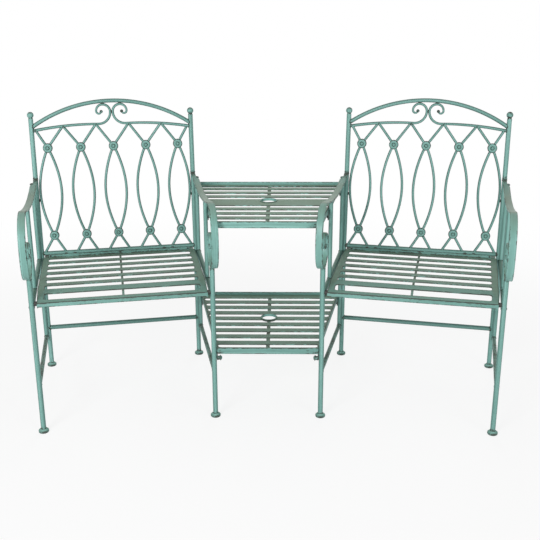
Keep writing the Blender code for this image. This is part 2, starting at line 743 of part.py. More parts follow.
def tab(half_width, y, low, side):
    """Ear at a frame's side, next to an upright."""
    rear, front, inner = y + TAB_BEHIND, y - TAB_AHEAD, TABLE_BAR_T - TAB_INSET
    outline = [(side * half_width(rear, TAB_INSET), rear), (side * half_width(rear, inner), rear),
               (side * half_width(front, inner), front), (side * half_width(front, TAB_INSET), front)]
    return prism(outline, low - TAB_DROP, low + TABLE_BAR_H / 3)


def tray(top, ends, flanges, holders, plain):
    """Frame of flat bar on edge with a slotted sheet inside it and a strap under the slats."""
    half_width = table_side(holders)
    low = top - TABLE_BAR_H
    frame = cut(prism(tray_outline(half_width, ends, 0), low, top),
                prism(tray_outline(half_width, ends, TABLE_BAR_T), low - TABLE_LIP, top + TABLE_LIP))
    floor = top - TABLE_LIP
    sheet = prism(tray_outline(half_width, ends, TABLE_BAR_T / 2), floor - TABLE_SHEET, floor)
    rows = tray_slots(ends, flanges)
    slots = []
    for index, (far, near) in enumerate(rows):
        if index not in plain:
            outline = [(sign * half_width(y, TABLE_BAR_T + TABLE_SIDE), y)
                       for sign, y in ((-1, far), (1, far), (1, near), (-1, near))]
            slots.append(prism(outline, low, top, SLOT_CORNER))
    cut(sheet, *slots)
    front, rear = rows[-1][1] - flanges[1] / 2, rows[0][0] + flanges[0] / 2
    strap = box((-TABLE_STRAP / 2, front, floor - TABLE_SHEET - STRAP_THICK),
                (TABLE_STRAP / 2, rear, floor - TABLE_SHEET / 2))
    tabs = [tab(half_width, point.y, low, side) for point, _ in holders for side in (-1, 1)]
    join(frame, sheet, strap, *tabs)
    room = RING_BODY_D / 2 + GAP
    reach = TABLE_BAR_H
    bore = turned([(0, reach), (room, reach), (room, -reach), (0, -reach)], RING_STEPS)
    bore.data.transform(Matrix.Translation((0, ring_y(), floor)))
    return cut(frame, bore)


def parasol_ring():
    """Turned bush: its flange lies on the slats, and its bore takes the parasol's pole."""
    body, flange, bore = RING_BODY_D / 2, RING_D / 2, RING_BORE_D / 2
    top, low = GAP + RING_FLANGE_H, -TABLE_SHEET - RING_DROP
    lip = [(bore, top), (flange * 0.94, top), (flange, top - RING_FLANGE_H * 0.4), (flange, GAP), (body, GAP)]
    profile = [*lip, (body, low), (bore, low), (bore, top)]
    return turned(profile, RING_STEPS)


def build_back(hand, chair, frame_paint, lattice_paint):
    plane = empty(f"{hand}_back_plane", chair, (0, 0, BEND_Z), (-RAKE, 0, 0))
    finish(arch_rail(), f"{hand}_arch_rail", plane, frame_paint)
    finish(bottom_rail(), f"{hand}_back_bottom_rail", plane, frame_paint)
    for index in range(MOTIFS):
        finish(lattice_motif(index), f"{hand}_lattice_{index + 1}", plane, lattice_paint)
    return plane


def build_chair(hand, frame_paint, lattice_paint, sheet_paint, foot_paint, root):
    """One chair under its own empty. Its outer side is the one away from the table."""
    out = -1 if hand == "left" else 1
    across = CHAIR_GAP / 2 + HALF * cos(TURN)
    chair = empty(f"{hand}_chair", root, (out * across, -HALF * sin(TURN), 0), (0, 0, -out * TURN))
    plane = build_back(hand, chair, frame_paint, lattice_paint)
    finish(rear_stretcher(), f"{hand}_rear_stretcher", chair, frame_paint)
    finish(seat_panel(), f"{hand}_seat_panel", chair, sheet_paint)
    for label, side in (("outer", out), ("inner", -out)):
        finish(scroll_rail(side), f"{hand}_scroll_rail_{label}", plane, lattice_paint)
        finish(back_post(side), f"{hand}_back_post_{label}", chair, frame_paint)
        finish(front_leg(side), f"{hand}_front_leg_{label}", chair, frame_paint)
        finish(armrest(side), f"{hand}_armrest_{label}", chair, frame_paint)
        finish(arm_post(side), f"{hand}_arm_post_{label}", chair, frame_paint)
        finish(side_stay(side), f"{hand}_side_stay_{label}", chair, frame_paint)
        finish(seat_rail(side), f"{hand}_seat_rail_{label}", chair, frame_paint)
        finish(foot(), f"{hand}_rear_foot_{label}", chair, foot_paint, (side * HALF, 0, 0))
        finish(foot(), f"{hand}_front_foot_{label}", chair, foot_paint, (side * HALF, -LEG_REACH, 0))


def build_table(sheet_paint, root):
    upper = table_holders(ARM_POST_FORWARD, ARM_POST_OUT, ARM_POST_D)
    lower = table_holders(LEG_REACH, 0.0, POST_D)
    upper_tray = tray(UPPER_TOP_Z, UPPER_ENDS, UPPER_FLANGES, upper, plain=[RING_SLAT])
    lower_tray = tray(LOWER_TOP_Z, LOWER_ENDS, LOWER_FLANGES, lower, plain=[])
    for label, piece, top in (("upper", upper_tray, UPPER_TOP_Z), ("lower", lower_tray, LOWER_TOP_Z)):
        finish(piece, f"{label}_table_tray", root, sheet_paint)
        finish(parasol_ring(), f"{label}_parasol_ring", root, sheet_paint, (0, ring_y(), top - TABLE_LIP))


def centre(root):
    """Moves the whole so that the origin is under the middle of its box."""
    bpy.context.view_layer.update()
    ys = [(piece.matrix_world @ vert.co).y for piece in PARTS.objects if piece.type == 'MESH'
          for vert in piece.data.vertices]
    root.location.y = -(min(ys) + max(ys)) / 2


clear_scene()
PARTS = new_collection(NAME)
TOOLS = new_collection("cutters")


def main():
    frame_paint = paint("frame_paint", (0.26, 0.46, 0.39), 0.45)
    lattice_paint = paint("lattice_paint", (0.25, 0.44, 0.37), 0.45)
    sheet_paint = paint("sheet_paint", (0.24, 0.36, 0.30), 0.5)
    foot_paint = paint("foot_paint", (0.22, 0.38, 0.32), 0.5)
    root = empty("seat_root")
    for hand in ("left", "right"):
        build_chair(hand, frame_paint, lattice_paint, sheet_paint, foot_paint, root)
    build_table(sheet_paint, root)
    centre(root)


main()
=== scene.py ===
# %% [markdown]
# # A garden companion seat
# Two metal armchairs stand side by side, each turned a little inward, and a small table with two slatted
# tiers joins them. The real one is bent and welded from steel tube, rod, flat bar and pressed sheet. It is
# painted a pale verdigris green and rubbed back, so that dark metal shows along the edges and round the
# welds.
#
# The measured model is loaded first and stays where it is. Everything below is modelled around it, in metres.

# %% The fixed frame
from math import acos, asin, cos, pi, radians, sin, sqrt, tan

import bmesh
import bpy
from mathutils import Matrix, Vector, noise


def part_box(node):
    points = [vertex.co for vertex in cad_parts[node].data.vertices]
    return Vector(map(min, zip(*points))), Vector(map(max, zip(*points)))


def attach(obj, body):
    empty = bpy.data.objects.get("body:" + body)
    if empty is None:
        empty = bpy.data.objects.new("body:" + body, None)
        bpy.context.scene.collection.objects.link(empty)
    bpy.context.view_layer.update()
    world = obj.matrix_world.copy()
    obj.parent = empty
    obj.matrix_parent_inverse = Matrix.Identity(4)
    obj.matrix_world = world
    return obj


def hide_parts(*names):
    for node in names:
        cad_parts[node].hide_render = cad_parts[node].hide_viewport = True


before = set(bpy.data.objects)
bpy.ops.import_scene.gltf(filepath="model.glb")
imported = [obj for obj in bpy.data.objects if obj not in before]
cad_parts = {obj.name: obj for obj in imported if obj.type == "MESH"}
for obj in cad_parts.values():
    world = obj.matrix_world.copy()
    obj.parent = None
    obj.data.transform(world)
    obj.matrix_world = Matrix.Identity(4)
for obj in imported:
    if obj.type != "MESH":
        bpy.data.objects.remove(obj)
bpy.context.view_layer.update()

# %% [markdown]
# ## Where the chairs stand
# A chair is easiest to model upright and straight, with x to its right, y to its back and the floor at zero.
# Its place could be typed in, but the feet of the measured model already tell it: the two back feet give the
# origin and the turn, and a front foot gives the depth.

# %% Chair stands from the feet
HANDS = ("left", "right")


def middle(node):
    """Middle of a node's box."""
    low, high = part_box(node)
    return (low + high) / 2


def sides(hand):
    """Names of a chair's two sides with their sign along its own x."""
    return (("outer", -1), ("inner", 1)) if hand == "left" else (("outer", 1), ("inner", -1))


def stand(hand):
    """Matrix from a chair's own axes to the world."""
    feet = {sign: middle(f"{hand}_rear_foot_{label}") for label, sign in sides(hand)}
    right = (feet[1] - feet[-1]).normalized()
    matrix = Matrix((right, Vector((0, 0, 1)).cross(right), (0, 0, 1))).transposed().to_4x4()
    matrix.translation = (feet[1] + feet[-1]) / 2
    matrix.translation.z = 0
    return matrix


STANDS = {hand: stand(hand) for hand in HANDS}
EVERY_SIDE = [(hand, label, sign) for hand in HANDS for label, sign in sides(hand)]
REAR_FOOT, FRONT_FOOT = middle("left_rear_foot_inner"), middle("left_front_foot_inner")
HALF = (REAR_FOOT - middle("left_rear_foot_outer")).length / 2
REACH = (REAR_FOOT - FRONT_FOOT).length
print(f"posts {2 * HALF:.3f} apart, legs {REACH:.3f} in front of them")

# %% [markdown]
# ## The camera
# The photograph was taken from the front, from above the backs and looking down, with a longer lens than a
# phone's. The place was found by fitting points of the model to the picture. It is written from the point
# midway between the two inner back feet, so that it follows the model.

# %% Camera at the photograph's view
CAMERA_FROM_TABLE = Vector((0.0007, -2.9497, 1.3385))
CAMERA_YAW, CAMERA_PITCH, CAMERA_ROLL = 0.0148, 0.3286, -0.0025
CAMERA_LENS, CAMERA_SENSOR = 57.015, 36.0   # millimetres, on a square sensor

lens = bpy.data.cameras.new("camera")
lens.lens, lens.sensor_width = CAMERA_LENS, CAMERA_SENSOR
camera = bpy.data.objects.new("camera", lens)
bpy.context.scene.collection.objects.link(camera)
table_rear = Vector((0, REAR_FOOT.y, 0))
yaw = Matrix.Rotation(CAMERA_YAW, 4, 'Z')
aim = Matrix.Rotation(pi / 2 - CAMERA_PITCH, 4, 'X') @ Matrix.Rotation(CAMERA_ROLL, 4, 'Z')
camera.matrix_world = Matrix.Translation(table_rear + yaw @ CAMERA_FROM_TABLE) @ yaw @ aim
bpy.context.scene.camera = camera
print("camera at", [round(value, 3) for value in camera.location])

# %% [markdown]
# ## Writing a finish
# A finish is a net of shader nodes. Wired by hand it soon becomes hard to read, so a small class wraps a
# socket and turns plain arithmetic into Math nodes. One method adds any other node: its settings come first,
# then the values or links of its sockets.

# %% Shader arithmetic
class Wire:
    """A socket that can be added, multiplied and so on."""

    def __init__(self, finish, socket):
        self.finish, self.socket = finish, socket

    def math(self, operation, *others, clamp=False):
        settings = {"operation": operation, "use_clamp": clamp}
        return self.finish.node('ShaderNodeMath', settings, dict(enumerate((self, *others))))

    def __add__(self, other):
        return self.math('ADD', other)

    def __mul__(self, other):
        return self.math('MULTIPLY', other)

    def __sub__(self, other):
        return self.math('SUBTRACT', other)

    def __rsub__(self, other):
        return self.finish.node('ShaderNodeMath', {"operation": 'SUBTRACT'}, {0: other, 1: self})

    __radd__, __rmul__ = __add__, __mul__

    def held(self):
        """The value kept between 0 and 1."""
        return self.math('ADD', 0.0, clamp=True)

    def between(self, low, high):
        """0 below low, 1 above high and a soft step between them."""
        sockets = {"Value": self, "From Min": low, "From Max": high}
        return self.finish.node('ShaderNodeMapRange', {"interpolation_type": 'SMOOTHSTEP'}, sockets)


class Finish:
    """A material's node tree."""

    def __init__(self, name, tree=None):
        if tree is None:
            self.material = bpy.data.materials.new(name)
            self.material.use_nodes = True
            tree = self.material.node_tree
        self.tree = tree
        self.tree.nodes.clear()

    def node(self, kind, settings=None, sockets=None, output=0):
        """Adds a node: its settings first, then the values or links of its sockets. Gives one output."""
        made = self.tree.nodes.new(kind)
        for name, value in (settings or {}).items():
            setattr(made, name, value)
        for key, value in (sockets or {}).items():
            if isinstance(value, Wire):
                self.tree.links.new(value.socket, made.inputs[key])
            else:
                made.inputs[key].default_value = value
        return Wire(self, made.outputs[output])

    def blend(self, share, first, second):
        """Mixes two colours."""
        colours = [value if isinstance(value, Wire) else (*value, 1.0) for value in (first, second)]
        settings = {"data_type": 'RGBA'}
        return self.node('ShaderNodeMix', settings, {0: share, 6: colours[0], 7: colours[1]}, 2)

    def noise(self, place, scale, detail=3.0, roughness=0.55):
        sockets = {"Vector": place, "Scale": scale, "Detail": detail, "Roughness": roughness}
        return self.node('ShaderNodeTexNoise', {}, sockets)

    def stretch(self, place, scale):
        return self.node('ShaderNodeMapping', {}, {"Vector": place, "Scale": scale})

    def output(self, shader, kind='ShaderNodeOutputMaterial'):
        sink = self.tree.nodes.new(kind)
        self.tree.links.new(shader.socket, sink.inputs[0])


print("Wire and Finish are ready")

# %% [markdown]
# ## The verdigris paint
# On the real seat a dark undercoat is covered with a green coat that is dry-brushed along each bar, and then
# rubbed back. Seen close up there are fine streaks along the metal, dark lines along edges and dark spots at
# welds, and a dull olive cast on faces that look up. Light is painted into the colour as well: the sides of
# the bars get painted shade, and faces that lean to the front keep less olive, as a painted front light.
#
# A picture could be wrapped on each piece, but noise is sharper and never repeats. Two guides are stored on
# the points of every piece: `grain` is the place on the bar as if it were straightened, so that streaks
# follow each bend, and `rub` says how near an edge or a weld is.

# %% Verdigris paint
GRAIN, RUB = "grain", "rub"
GREEN = (0.180, 0.372, 0.330)
PALE = (0.290, 0.535, 0.495)
DEEP = (0.050, 0.122, 0.104)
OLIVE = (0.138, 0.212, 0.144)
BARE = (0.034, 0.028, 0.020)
FINE_STREAKS, BROAD_STREAKS = (6.0, 420.0, 420.0), (3.0, 130.0, 130.0)    # noise per metre along, across
CHIPS, CLOUDS = (95.0, 400.0, 400.0), 14.0
BUMP_STRENGTH, PAINT_DEPTH = 0.25, 0.0004


def toned(colour, tone):
    """A colour with a share of the undercoat's deep green in it."""
    return tuple(part + (deep - part) * tone for part, deep in zip(colour, DEEP))


def verdigris(name, olive, wear, streaks=1.0, flank_shade=0.0, cheek_shade=0.0, tone=0.0, matt=0.42):
    """Rubbed green paint.

    olive tints faces that look up, less where they lean to the front as a painted front light, wear bares
    edges and welds, the flank and cheek shares paint shade on the sides of a round bar and of a flat one,
    tone takes the whole coat down (painted shade on the low bars and the shelf), and matt is the least
    roughness.
    """
    paint = Finish(name)
    grain = paint.node('ShaderNodeAttribute', {"attribute_name": GRAIN}, {}, "Vector")
    rub = paint.node('ShaderNodeAttribute', {"attribute_name": RUB}, {}, "Fac")
    normal = paint.node('ShaderNodeNewGeometry', {}, {}, "Normal")
    across, facing, upward = (paint.node('ShaderNodeSeparateXYZ', {}, {0: normal}, axis) for axis in "XYZ")

    fine = paint.noise(paint.stretch(grain, FINE_STREAKS), 1.0, 3.0, 0.6)
    broad = paint.noise(paint.stretch(grain, BROAD_STREAKS), 1.0, 2.0)
    clouds = paint.noise(grain, CLOUDS, 3.0)
    chips = paint.noise(paint.stretch(grain, CHIPS), 1.0, 5.0, 0.6)

    # Streaked green coat, then olive on top, thinned ahead as painted front light, then painted side shade.
    colour = paint.blend(broad.between(0.42, 0.74) * (0.60 * streaks), toned(GREEN, tone), toned(PALE, tone))
    colour = paint.blend(fine.between(0.52, 0.80) * (0.70 * streaks), colour, DEEP)
    # Painted front light: faces that lean to the front take less olive.
    ahead = (0.0 - facing).between(0.02, 0.13)
    top = upward.between(0.25, 0.92) * (olive * (0.75 + 0.40 * clouds)) * (1.0 - 0.45 * ahead)
    colour = paint.blend(top.held(), colour, toned(OLIVE, tone))
    # Painted shade: the sides of round and flat bars are darkened towards the deep undercoat.
    round_side_shade = (1.0 - facing.math('ABSOLUTE')).between(0.04, 0.36) * flank_shade
    flat_side_shade = across.math('ABSOLUTE').between(0.55, 0.92) * cheek_shade
    colour = paint.blend(((round_side_shade + flat_side_shade) * (0.75 + 0.5 * clouds)).held(), colour, DEEP)
    # Bare metal shows where the rub and the noise add up, and in scratches.
    patches = clouds.between(0.36, 0.64) * 0.45 + chips.between(0.36, 0.64) * 0.60
    worn = (rub * wear + patches).between(1.00, 1.22)
    scratch = (broad + 0.30 * fine).between(0.86, 0.95) * 0.6
    bare = (worn * 0.85 + scratch).held()
    colour = paint.blend(bare, colour, BARE)

    height = fine * 0.5 + broad * 0.3 - bare * 0.4
    bump = paint.node('ShaderNodeBump', {}, {
        "Strength": BUMP_STRENGTH, "Distance": PAINT_DEPTH, "Height": height})
    shader = paint.node('ShaderNodeBsdfPrincipled', {}, {
        "Base Color": colour, "Normal": bump, "Specular IOR Level": 0.35,
        "Roughness": matt + 0.14 * fine + 0.15 * bare})
    paint.output(shader)
    return paint.material


POST_PAINT = verdigris("rubbed_green_on_post", olive=0.75, wear=0.80, flank_shade=0.30)
FRAME_PAINT = verdigris("rubbed_green_on_tube", olive=0.75, wear=0.80, flank_shade=0.42, tone=0.08)
BAR_PAINT = verdigris("rubbed_green_on_back_bar", olive=0.70, wear=0.85, flank_shade=0.80, tone=0.22)
# Painted shade: the low rear bars under the seat are toned far down.
SHADED_LOW_BAR_PAINT = verdigris("rubbed_green_with_painted_shade_on_low_bar", olive=0.70, wear=0.85, flank_shade=0.90, tone=0.50)
ARM_PAINT = verdigris("rubbed_green_on_arm", olive=0.95, wear=0.80, cheek_shade=0.45, tone=0.11, matt=0.30)
ROD_PAINT = verdigris("rubbed_green_on_rod", olive=0.60, wear=0.90, flank_shade=1.00, tone=0.14)
SEAT_PAINT = verdigris("rubbed_green_on_seat", olive=0.95, wear=0.80, streaks=0.8, cheek_shade=0.45, tone=0.23)
TRAY_PAINT = verdigris("rubbed_green_on_tray", olive=0.95, wear=0.80, streaks=0.8, cheek_shade=0.45)
# Painted shade: the lower shelf under the upper tray is toned down.
SHADED_SHELF_PAINT = verdigris("rubbed_green_with_painted_shade_on_shelf", olive=0.95, wear=0.80, streaks=0.8, cheek_shade=0.45, tone=0.23)
FOOT_PAINT = verdigris("rubbed_green_on_feet", olive=0.55, wear=0.80)
print("ten verdigris paints")

# %% [markdown]
# ## Black fittings
# The dome bolts and the sleeves that hold the seat off the legs are left black on the real seat. A fine
# speckle in the colour and the gloss keeps them from looking like plastic buttons.

# %% Black fittings
INK = (0.018, 0.018, 0.017)
ASH = (0.070, 0.068, 0.062)
SPECKS, SMEARS, SPECK_DEPTH = 900.0, 120.0, 0.0003


def blackened(name, roughness):
    steel = Finish(name)
    place = steel.node('ShaderNodeTexCoord', {}, {}, "Object")
    speck = steel.noise(place, SPECKS, 4.0)
    smear = steel.noise(place, SMEARS, 3.0)
    colour = steel.blend((0.5 * speck + 0.5 * smear).between(0.42, 0.70), INK, ASH)
    bump = steel.node('ShaderNodeBump', {}, {
        "Strength": BUMP_STRENGTH, "Distance": SPECK_DEPTH, "Height": speck})
    steel.output(steel.node('ShaderNodeBsdfPrincipled', {}, {
        "Base Color": colour, "Roughness": roughness - 0.1 + 0.2 * smear, "Normal": bump}))
    return steel.material


BOLT_BLACK = blackened("blackened_bolt", 0.42)
SLEEVE_BLACK = blackened("black_sleeve", 0.65)
print("two black finishes")

# %% [markdown]
# ## Pulling a bar along a path
# Nearly every piece is a bar of one section bent along a path. A bevelled curve would do it, but a curve
# can't hold the two guides of the paint. Here a ring of edges is extruded from point to point, and a matrix
# carries each new ring to its place, turned with the path and never twisted. The distance travelled goes into
# `grain`.

# %% Sweeping a section
TUBE_SIDES, ROD_SIDES = 20, 16
END_RUB = 0.012             # length of the rubbed stretch at each end of a bar
EASED_AT, EASED_ROOM = (0.35, 1.0), 2.5     # extra points there, and how long a straight must be to get them


def blank():
    """An empty bmesh whose points can hold the paint's two guides."""
    bm = bmesh.new()
    bm.verts.layers.float_vector.new(GRAIN)
    bm.verts.layers.float.new(RUB)
    return bm


def loop_edges(verts):
    """Edges between points of a set."""
    ring = set(verts)
    return list({edge for vert in verts for edge in vert.link_edges if edge.other_vert(vert) in ring})


def extruded(bm, edges):
    """Extrudes edges without moving them, and gives the new points."""
    grown = bmesh.ops.extrude_edge_only(bm, edges=edges)["geom"]
    return [item for item in grown if isinstance(item, bmesh.types.BMVert)]


def route(path, side):
    """Matrices along a path. Their z looks ahead, and their x starts at side and turns only with the path."""
    steps = [(after - before).normalized() for before, after in zip(path, path[1:])]
    headings = [steps[0], *((a + b).normalized() for a, b in zip(steps, steps[1:])), steps[-1]]
    side = (side - headings[0] * side.dot(headings[0])).normalized()
    matrices = []
    for index, (point, heading) in enumerate(zip(path, headings)):
        if index:
            side = headings[index - 1].rotation_difference(heading) @ side
        matrix = Matrix((side, heading.cross(side), heading)).transposed().to_4x4()
        matrix.translation = point
        matrices.append(matrix)
    return matrices


def sweep(bm, section, path, sizes, side, end_rub=1.0, edge_rub=None, start=0.0, rubs=None):
    """Extrudes a ring of points along a path, one ring for each point, and closes both ends.

    edge_rub gives the rub at a place of the section, and rubs at each point of the path.
    """
    grain, rub = bm.verts.layers.float_vector[GRAIN], bm.verts.layers.float[RUB]
    places = [matrix @ Matrix.Diagonal((*size, 1.0, 1.0)) for matrix, size in zip(route(path, side), sizes)]
    length = sum((after - before).length for before, after in zip(path, path[1:]))
    travelled, ring, before = 0.0, section, Matrix.Identity(4)
    bottom = loop_edges(ring)
    for index, place in enumerate(places):
        if index:
            travelled += (path[index] - path[index - 1]).length
            ring = extruded(bm, loop_edges(ring))
        bmesh.ops.transform(bm, matrix=place @ before.inverted(), verts=ring)
        near = min(travelled, length - travelled)
        for vert in ring:
            local = place.inverted() @ vert.co
            vert[grain] = (start + travelled, local.x * sizes[index][0], local.y * sizes[index][1])
            vert[rub] = end_rub * max(0.0, 1.0 - near / END_RUB)
            if edge_rub:
                vert[rub] = max(vert[rub], edge_rub(local))
            if rubs:
                vert[rub] = max(vert[rub], rubs[index])
        before = place
    bmesh.ops.edgeloop_fill(bm, edges=bottom)
    bmesh.ops.edgeloop_fill(bm, edges=loop_edges(ring))


def eased(path):
    """A path with more points near its two ends, so that the rub there stays short."""
    path = [Vector(point) for point in path]
    head, tail = (
        [end + way.normalized() * END_RUB * share for share in EASED_AT if way.length > EASED_ROOM * END_RUB]
        for end, way in ((path[0], path[1] - path[0]), (path[-1], path[-2] - path[-1])))
    return [path[0], *head, *path[1:-1], *reversed(tail), path[-1]]


def round_bar(bm, path, radius, segments=TUBE_SIDES, radii=None, start=0.0, rubs=None):
    """Round bar along a path. radii gives one radius for each point instead, and rubs one rub."""
    points = [Vector(point) for point in path] if radii else eased(path)
    circle = bmesh.ops.create_circle(bm, cap_ends=False, segments=segments, radius=1.0)["verts"]
    side = (points[1] - points[0]).orthogonal()
    sizes = [(size, size) for size in radii or [radius] * len(points)]
    sweep(bm, circle, points, sizes, side, start=start, rubs=rubs)


print("round_bar is ready")

# %% [markdown]
# ## Putting a piece in its place
# A finished piece is carried from its chair's axes to the world in its mesh, so that its object sits at the
# origin. It rides on the frame's one body, and hides the plain nodes that it stands for.

# %% Placing a piece
MADE = []


def place(bm, name, matrix, paint, slot, *nodes, sharp=35.0):
    """Makes an object of a bmesh, in the world, and ties it to the frame."""
    bmesh.ops.recalc_face_normals(bm, faces=bm.faces)
    bmesh.ops.transform(bm, matrix=matrix, verts=bm.verts)
    mesh = bpy.data.meshes.new(name)
    bm.to_mesh(mesh)
    bm.free()
    mesh.shade_smooth()
    mesh.set_sharp_from_angle(angle=radians(sharp))
    mesh.materials.append(paint)
    piece = bpy.data.objects.new(name, mesh)
    bpy.context.scene.collection.objects.link(piece)
    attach(piece, "root")
    if nodes:
        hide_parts(*nodes)
    MADE.append(piece)


print("place is ready")

# %% [markdown]
# ## Back posts
# Each back post is a tube that stands upright to the seat, leans back above it, and ends in a ball on a short
# neck. The ball could be a sphere stuck on top. Here it belongs to the sweep: the rings shrink to the neck
# and swell again, as on a turned end.

# %% Back posts with their finials
POST_R = 0.008
FOOT_H = 0.012
BEND_Z, RAKE, BEND_R = 0.405, radians(5.3), 0.060
LEAN = Vector((0, sin(RAKE), cos(RAKE)))
ARCH_Z = 0.945
FINIAL_Z, FINIAL_R = ARCH_Z - 0.0413, 0.0111
FINIAL_END = radians(86)    # angle at which the ball is closed with a flat end
NECK_R, NECK_L, SHOULDER_R, NECK_STEP = 0.00625, 0.0015, 0.0012, 0.0003
CREASE, CREASE_RUB = 0.007, 1.1     # reach and strength of the dark wash round the neck
ARM_REAR_Z = 0.690          # where the armrest is welded on
SCORCH, SCORCH_RUB = 0.012, 1.2     # reach and strength of the dark patch round that weld


def up(height):
    """Distance along the leaning back from its bend to a height above the floor."""
    return (height - BEND_Z) / cos(RAKE)


def ball_rings(neck, radius, end, count):
    """Rings of a ball as (distance from its neck, radius), from the neck round to the angle of its end."""
    start = -acos(neck / radius)
    turns = [start + (end - start) * index / count for index in range(count + 1)]
    return [(radius * (sin(turn) - sin(start)), radius * cos(turn)) for turn in turns]


def back_post(sign):
    """Path, radii and rubs of a post: it is dark in the crease under the ball and round the arm's weld."""
    turns = [RAKE * index / 6 for index in range(7)]
    low = BEND_Z - BEND_R * tan(RAKE / 2)
    path = [Vector((0, 0, FOOT_H)), Vector((0, 0, FOOT_H + END_RUB))]
    path += [Vector((0, BEND_R * (1 - cos(turn)), low + BEND_R * sin(turn))) for turn in turns]
    weld = Vector((0, 0, BEND_Z)) + LEAN * up(ARM_REAR_Z)
    path += [weld + LEAN * SCORCH * share for share in (-1.0, -0.4, 0.4, 1.0)]
    radii = [POST_R] * len(path)
    neck = Vector((0, 0, BEND_Z)) + LEAN * (up(FINIAL_Z) - sqrt(FINIAL_R ** 2 - NECK_R ** 2))
    path.append(neck - LEAN * CREASE)
    radii.append(POST_R)
    for index in range(5):
        turn = pi / 2 * index / 4
        path.append(neck - LEAN * (NECK_L + SHOULDER_R * (1 - sin(turn))))
        radii.append(POST_R - SHOULDER_R * (1 - cos(turn)))
    path.append(path[-1] + LEAN * NECK_STEP)
    radii.append(NECK_R)
    for ahead, radius in ball_rings(NECK_R, FINIAL_R, FINIAL_END, 14):
        path.append(neck + LEAN * ahead)
        radii.append(radius)
    rubs = [max(0.0, CREASE_RUB * (1 - (point - neck).length / CREASE),
                SCORCH_RUB * (1 - (point - weld).length / SCORCH)) for point in path]
    return [point + Vector((sign * HALF, 0, 0)) for point in path], radii, rubs


for hand, label, sign in EVERY_SIDE:
    bm = blank()
    path, radii, rubs = back_post(sign)
    round_bar(bm, path, POST_R, radii=radii, start=sign + (hand == "left") * 3.1, rubs=rubs)
    place(bm, f"{hand}_{label}_post_with_ball", STANDS[hand], POST_PAINT, "frame_paint",
          f"{hand}_back_post_{label}")
print("four back posts")

# %% [markdown]
# ## Arch, bottom rail and rear stretcher
# Between the posts run three round bars. The arch is one bent arc, so a circle through its top and its two
# ends gives every point of it. The other two are straight.

# %% Bars between the posts
ARCH_R, ARCH_RISE, ARCH_STEPS = 0.00675, 0.084, 24
BOTTOM_RAIL_R, BOTTOM_RAIL_Z = 0.007, 0.428
STRETCHER_R, STRETCHER_Z = 0.0078, 0.149
BAR_END = HALF - POST_R * 0.6      # a bar ends inside the post, where the weld hides it
LEANED = Matrix.Translation((0, 0, BEND_Z)) @ Matrix.Rotation(-RAKE, 4, 'X')
BACKS = {hand: STANDS[hand] @ LEANED for hand in HANDS}
ARCH_BEND = (HALF ** 2 + ARCH_RISE ** 2) / (2 * ARCH_RISE)


def arch_height(x):
    """Axis of the arch above the bend, on the leaning back."""
    return up(ARCH_Z) - ARCH_BEND + sqrt(ARCH_BEND ** 2 - x ** 2)


steps = [BAR_END * step / ARCH_STEPS for step in range(-ARCH_STEPS, ARCH_STEPS + 1)]
arch = [Vector((x, 0, arch_height(x))) for x in steps]
rail, stretcher = ([(sign * BAR_END, 0, height) for sign in (-1, 1)]
                   for height in (up(BOTTOM_RAIL_Z), STRETCHER_Z))
for hand in HANDS:
    for name, path, radius, matrix, node, paint, start in (
            ("arch", arch, ARCH_R, BACKS[hand], "arch_rail", BAR_PAINT, 0.7),
            ("lower_back_bar", rail, BOTTOM_RAIL_R, BACKS[hand], "back_bottom_rail", BAR_PAINT, 1.9),
            ("low_rear_bar", stretcher, STRETCHER_R, STANDS[hand], "rear_stretcher", SHADED_LOW_BAR_PAINT, 2.6)):
        bm = blank()
        round_bar(bm, path, radius, start=start + (hand == "left") * 4.3)
        place(bm, f"{hand}_{name}", matrix, paint, "frame_paint", f"{hand}_{node}")
print("arches, lower back bars and low rear bars")

# %% [markdown]
# ## Scroll rails
# Under the arch a rod leaves each post, levels out and curls up into a volute. It thins as it curls and ends
# in a small ball, and the two volutes touch in the middle. The path is a chain of arcs that share their
# tangents, as a smith would bend it, each quarter turn tighter than the one before.

# %% Scroll rails
ROD_GAP = 0.0003
SCROLL_R, VOLUTE_R, CURL_R, VOLUTE_BALL_R = 0.0053, 0.0042, 0.0032, 0.0054
SCROLL_RISE, SCROLL_DIP = radians(10.5), radians(1.5)
VOLUTE_BENDS = (0.0405, 0.0250, 0.0220, 0.0092)
VOLUTE_END_BEND, VOLUTE_END_TURN = 0.0060, radians(65.0)
VOLUTE_BALL_END, VOLUTE_BALL_RUB = radians(84), 0.9
SCROLL_TURN_STEP, SCROLL_STEP = radians(1.2), 0.0022    # between points of the exact line and of the swept one


def arcs(start, heading, bends, step):
    """Points of a flat path of arcs (radius, turn) with shared tangents. A positive turn is to the left."""
    points = [Vector(start)]
    for radius, turn in bends:
        hand = 1 if turn > 0 else -1
        centre = points[-1] + hand * radius * Vector((-sin(heading), cos(heading)))
        count = max(4, round(abs(turn) / step))
        for index in range(1, count + 1):
            angle = heading + turn * index / count
            points.append(centre + hand * radius * Vector((sin(angle), -cos(angle))))
        heading += turn
    return points


